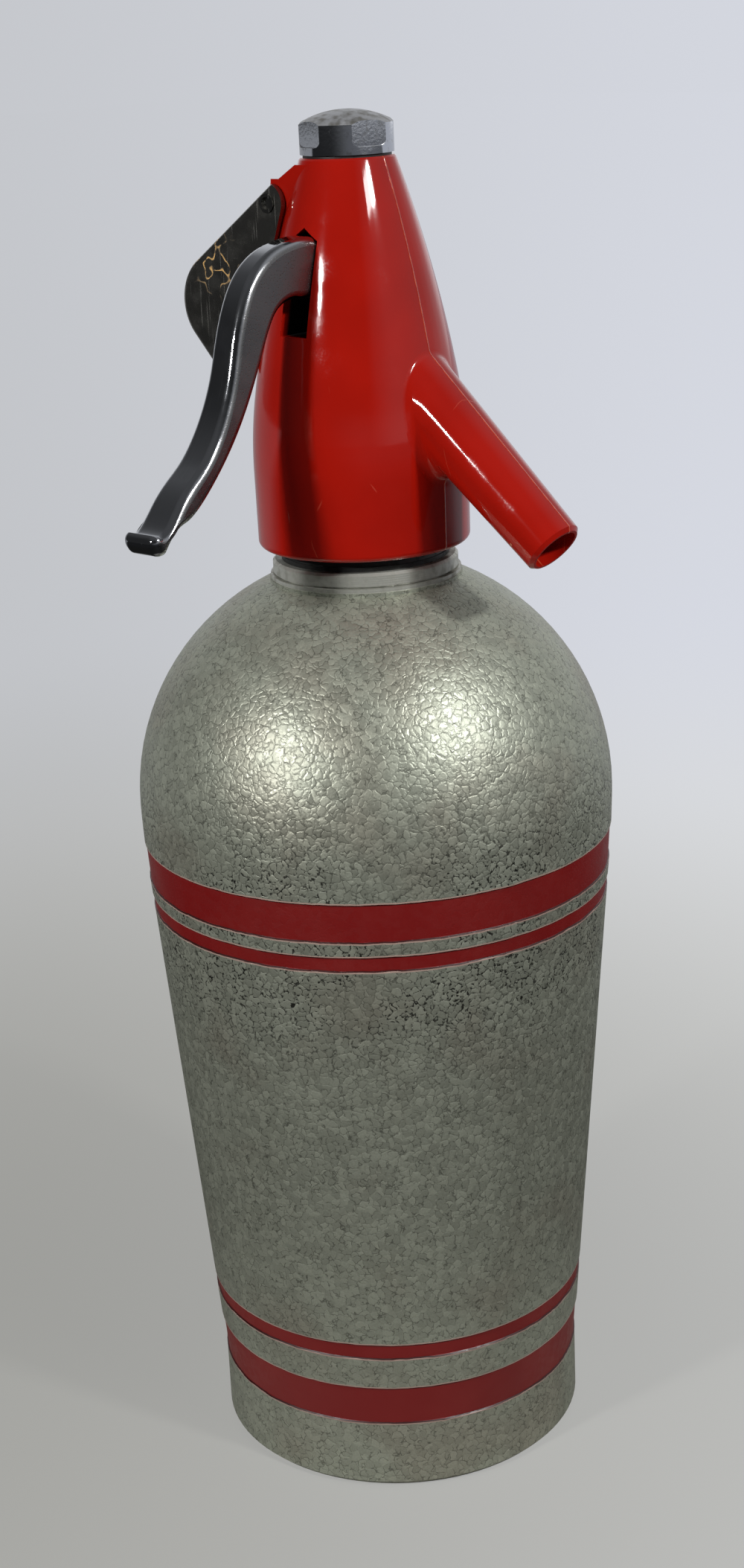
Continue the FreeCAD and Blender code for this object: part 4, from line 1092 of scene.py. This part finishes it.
@dataclass
class Studio:
    """A pale floor and surroundings, four small lamps, and the camera.

    Distances are in metres from the foot of the object's axis. AHEAD runs from the camera past
    the object, and RIGHT to the camera's right.
    """

    camera_distance: float = 0.5233
    camera_height: float = 0.3374
    camera_azimuth: float = 42.0
    camera_turn: float = 0.10
    camera_pitch: float = 18.535
    camera_roll: float = -2.647
    lens_mm: float = 54.158
    sensor_mm: float = 36.0
    clip_start: float = 0.01
    lamps: tuple[Lamp, ...] = (
        Lamp("strip_left", (-0.10, -0.69, 0.51), 0.10, 0.055, 0.75),
        Lamp("key_left", (-0.065, -0.69, 0.507), 0.06, 0.05, 2.4),
        Lamp("strip_right", (0.61, -0.08, 0.625), 0.16, 0.055, 0.6),
        Lamp("key_right", (0.607, 0.0, 0.621), 0.06, 0.05, 2.4),
    )
    lamps_aim_z: float = 0.2
    # Colours of the surroundings and of the floor.
    pale_left: str = "#C2C4C8"
    pale_right: str = "#D6D9E2"
    pale_turn: Span = (-0.3, 0.3)
    room: str = "#F2F4F8"
    floor_tone: str = "#A3A29C"
    # Near the object the floor is painted darker to the left as painted shade and paler to the
    # right as painted light.
    floor_shaded_left: str = "#AFAFAB"
    floor_lit_right: str = "#DADBDA"
    floor_sides: Span = (-0.2, 0.2)
    floor_blend: Span = (0.15, 0.8)
    floor_size: float = 12.0
    floor_roughness: float = 0.7
    # The floor glows far from the object, for the camera and in what shiny pieces mirror.
    floor_glow: float = 0.6
    glow_seen: Span = (0.04, 0.5)
    glow_mirrored: Span = (0.06, 0.14)
    glow_far: Span = (0.4, 3.0)
    glow_wall: Span = (0.1, 0.6)
    # Light from the room, and what only shiny pieces mirror of it.
    room_light: float = 0.035
    back_light: float = 0.25
    back_turn: Span = (0.3, 1.0)
    far_light: float = 0.15
    far_rise: Span = (0.02, 0.16)
    far_turn: Span = (-0.7, 0.1)
    wall_light: float = 0.55
    wall_turn: Span = (0.66, 0.93)
    window_light: float = 0.4
    window_turn: Span = (0.15, 0.75)
    ceiling_light: float = 0.08
    ceiling_rise: Span = (0.35, 0.9)

    def build(self) -> None:
        """Set up the floor, the world, the lamps and the camera."""
        bpy.context.scene.view_settings.view_transform = "Standard"
        self.make_floor()
        self.make_world()
        for lamp in self.lamps:
            self.hang(lamp)
        self.make_camera()

    def along(self, graph: Graph, place: Socket, turn: float) -> Socket:
        """Measure how far a place or direction runs along a level way.

        Args:
            graph: the node tree.
            place: the place or direction.
            turn: the way's turn from the camera's own, in degrees.

        Returns:
            The socket that holds the distance.
        """
        around = math.radians(self.camera_azimuth - turn)
        way = Vector((-math.sin(around), math.cos(around), 0.0))
        return graph.vector("DOT_PRODUCT", place, way, output="Value")

    def to_right(self, graph: Graph, place: Socket, span: Span) -> Socket:
        """Go from 0 to 1 while the way to a place turns from the left to the right."""
        way = graph.vector("NORMALIZE", place)
        return graph.ease(self.along(graph, way, RIGHT), span)

    def backdrop(self, graph: Graph, place: Socket) -> Socket:
        """Return the colour of the pale surroundings, a little darker to the left."""
        right = self.to_right(graph, place, self.pale_turn)
        return graph.mix(right, linear(self.pale_left), linear(self.pale_right))

    def make_floor(self) -> None:
        """Lay a large floor that fades into the pale surroundings far from the object."""
        deselect()
        bpy.ops.mesh.primitive_plane_add(size=self.floor_size)
        floor = bpy.context.active_object
        floor.name = "floor"
        material = bpy.data.materials.new("matt_paper_floor")
        material.use_nodes = True
        graph = Graph(material.node_tree)
        graph.tree.nodes.clear()
        place = graph.add("ShaderNodeTexCoord").outputs["Object"]
        reach = graph.vector("LENGTH", place, output="Value")
        paths = graph.add("ShaderNodeLightPath").outputs
        mirrored = paths["Is Glossy Ray"]
        seen = graph.larger(paths["Is Camera Ray"], paths["Is Transmission Ray"])

        # Near the object the floor is lit paper, and farther off it glows.
        share = graph.times(seen, graph.ease(reach, self.glow_seen, self.floor_glow, 1.0))
        share = graph.larger(share, graph.times(mirrored, graph.ease(reach, self.glow_mirrored)))
        far = graph.ease(reach, self.glow_far, end=self.far_light)
        far = graph.times(far, self.to_right(graph, place, self.far_turn))
        dim, bright = self.room_light, self.room_light + self.wall_light
        wall = graph.ease(self.along(graph, place, AHEAD), self.glow_wall, dim, bright)
        strength = graph.plus(seen, graph.times(mirrored, graph.plus(far, wall)))
        # Painted shade and light: the near floor is darker to the left and paler to the right.
        side = graph.ease(self.along(graph, place, RIGHT), self.floor_sides)
        near = graph.mix(side, linear(self.floor_shaded_left), linear(self.floor_lit_right))
        blend = graph.ease(reach, self.floor_blend)
        tone = graph.mix(blend, near, self.backdrop(graph, place))
        inputs = {"Base Color": linear(self.floor_tone), "Roughness": self.floor_roughness}
        paper = graph.add("ShaderNodeBsdfPrincipled", inputs).outputs[0]
        glow = graph.add("ShaderNodeEmission", {"Color": tone, "Strength": strength}).outputs[0]
        mixed = graph.add("ShaderNodeMixShader", {0: share, 1: paper, 2: glow})
        graph.add("ShaderNodeOutputMaterial", {"Surface": mixed.outputs[0]})
        floor.data.materials.append(material)

    def make_world(self) -> None:
        """Light the object from a dim room; shiny pieces also mirror a wall and a window."""
        world = bpy.data.worlds.new("soft_room")
        bpy.context.scene.world = world
        world.use_nodes = True
        graph = Graph(world.node_tree)
        graph.tree.nodes.clear()
        direction = graph.add("ShaderNodeTexCoord").outputs["Generated"]
        _, _, rise = graph.parts(direction)
        behind, right = (self.along(graph, direction, turn) for turn in (AHEAD, RIGHT))
        wall = graph.ease(behind, self.wall_turn, end=self.wall_light)
        window = graph.ease(right, self.window_turn, end=self.window_light)
        ceiling = graph.ease(rise, self.ceiling_rise, end=self.ceiling_light)
        far = graph.ease(graph.magnitude(rise), self.far_rise, self.far_light, 0.0)
        far = graph.times(far, self.to_right(graph, direction, self.far_turn))
        mirrored = graph.plus(graph.plus(far, wall), graph.plus(window, ceiling))
        paths = graph.add("ShaderNodeLightPath").outputs
        dim, bright = self.room_light, self.room_light + self.back_light
        light = graph.ease(behind, self.back_turn, dim, bright)
        strength = graph.maths("MULTIPLY_ADD", mirrored, paths["Is Glossy Ray"], light)
        inputs = {"Color": linear(self.room), "Strength": strength}
        room = graph.add("ShaderNodeBackground", inputs).outputs[0]
        inputs = {"Color": self.backdrop(graph, direction), "Strength": 1.0}
        seen = graph.add("ShaderNodeBackground", inputs).outputs[0]
        mixed = graph.add("ShaderNodeMixShader", {0: paths["Is Camera Ray"], 1: room, 2: seen})
        graph.add("ShaderNodeOutputWorld", {"Surface": mixed.outputs[0]})

    def hang(self, lamp: Lamp) -> None:
        """Hang a lamp so that it faces the middle of the object."""
        light = bpy.data.lights.new(lamp.name, "AREA")
        light.shape, light.size, light.size_y = "RECTANGLE", lamp.width, lamp.height
        light.energy = lamp.watts
        holder = bpy.data.objects.new(lamp.name, light)
        bpy.context.scene.collection.objects.link(holder)
        aim = Vector(lamp.place) - Vector((0.0, 0.0, self.lamps_aim_z))
        turn = aim.to_track_quat("Z", "Y").to_matrix().to_4x4()
        holder.matrix_world = Matrix.Translation(lamp.place) @ turn
        log.info("%s hung with %.2f W", lamp.name, lamp.watts)

    def make_camera(self) -> None:
        """Place the camera."""
        data = bpy.data.cameras.new("camera")
        data.lens, data.sensor_width = self.lens_mm, self.sensor_mm
        data.clip_start = self.clip_start
        camera = bpy.data.objects.new("camera", data)
        bpy.context.scene.collection.objects.link(camera)
        around = math.radians(self.camera_azimuth)
        place = Vector((math.sin(around), -math.cos(around), 0.0)) * self.camera_distance
        place.z = self.camera_height
        camera.matrix_world = (
            Matrix.Translation(place)
            @ Matrix.Rotation(around + math.radians(self.camera_turn), 4, "Z")
            @ Matrix.Rotation(math.radians(90.0 - self.camera_pitch), 4, "X")
            @ Matrix.Rotation(math.radians(self.camera_roll), 4, "Z")
        )
        bpy.context.scene.camera = camera


def main() -> None:
    """Build the sub-assemblies in order, then the studio."""
    deselect()
    for part in (Bottle(), DispensingHead(), SqueezeLever(), ChargerHood(), Fittings()):
        part.build()
        log.info("%s finished", type(part).__name__)
    Studio().build()


if __name__ == "__main__":
    main()
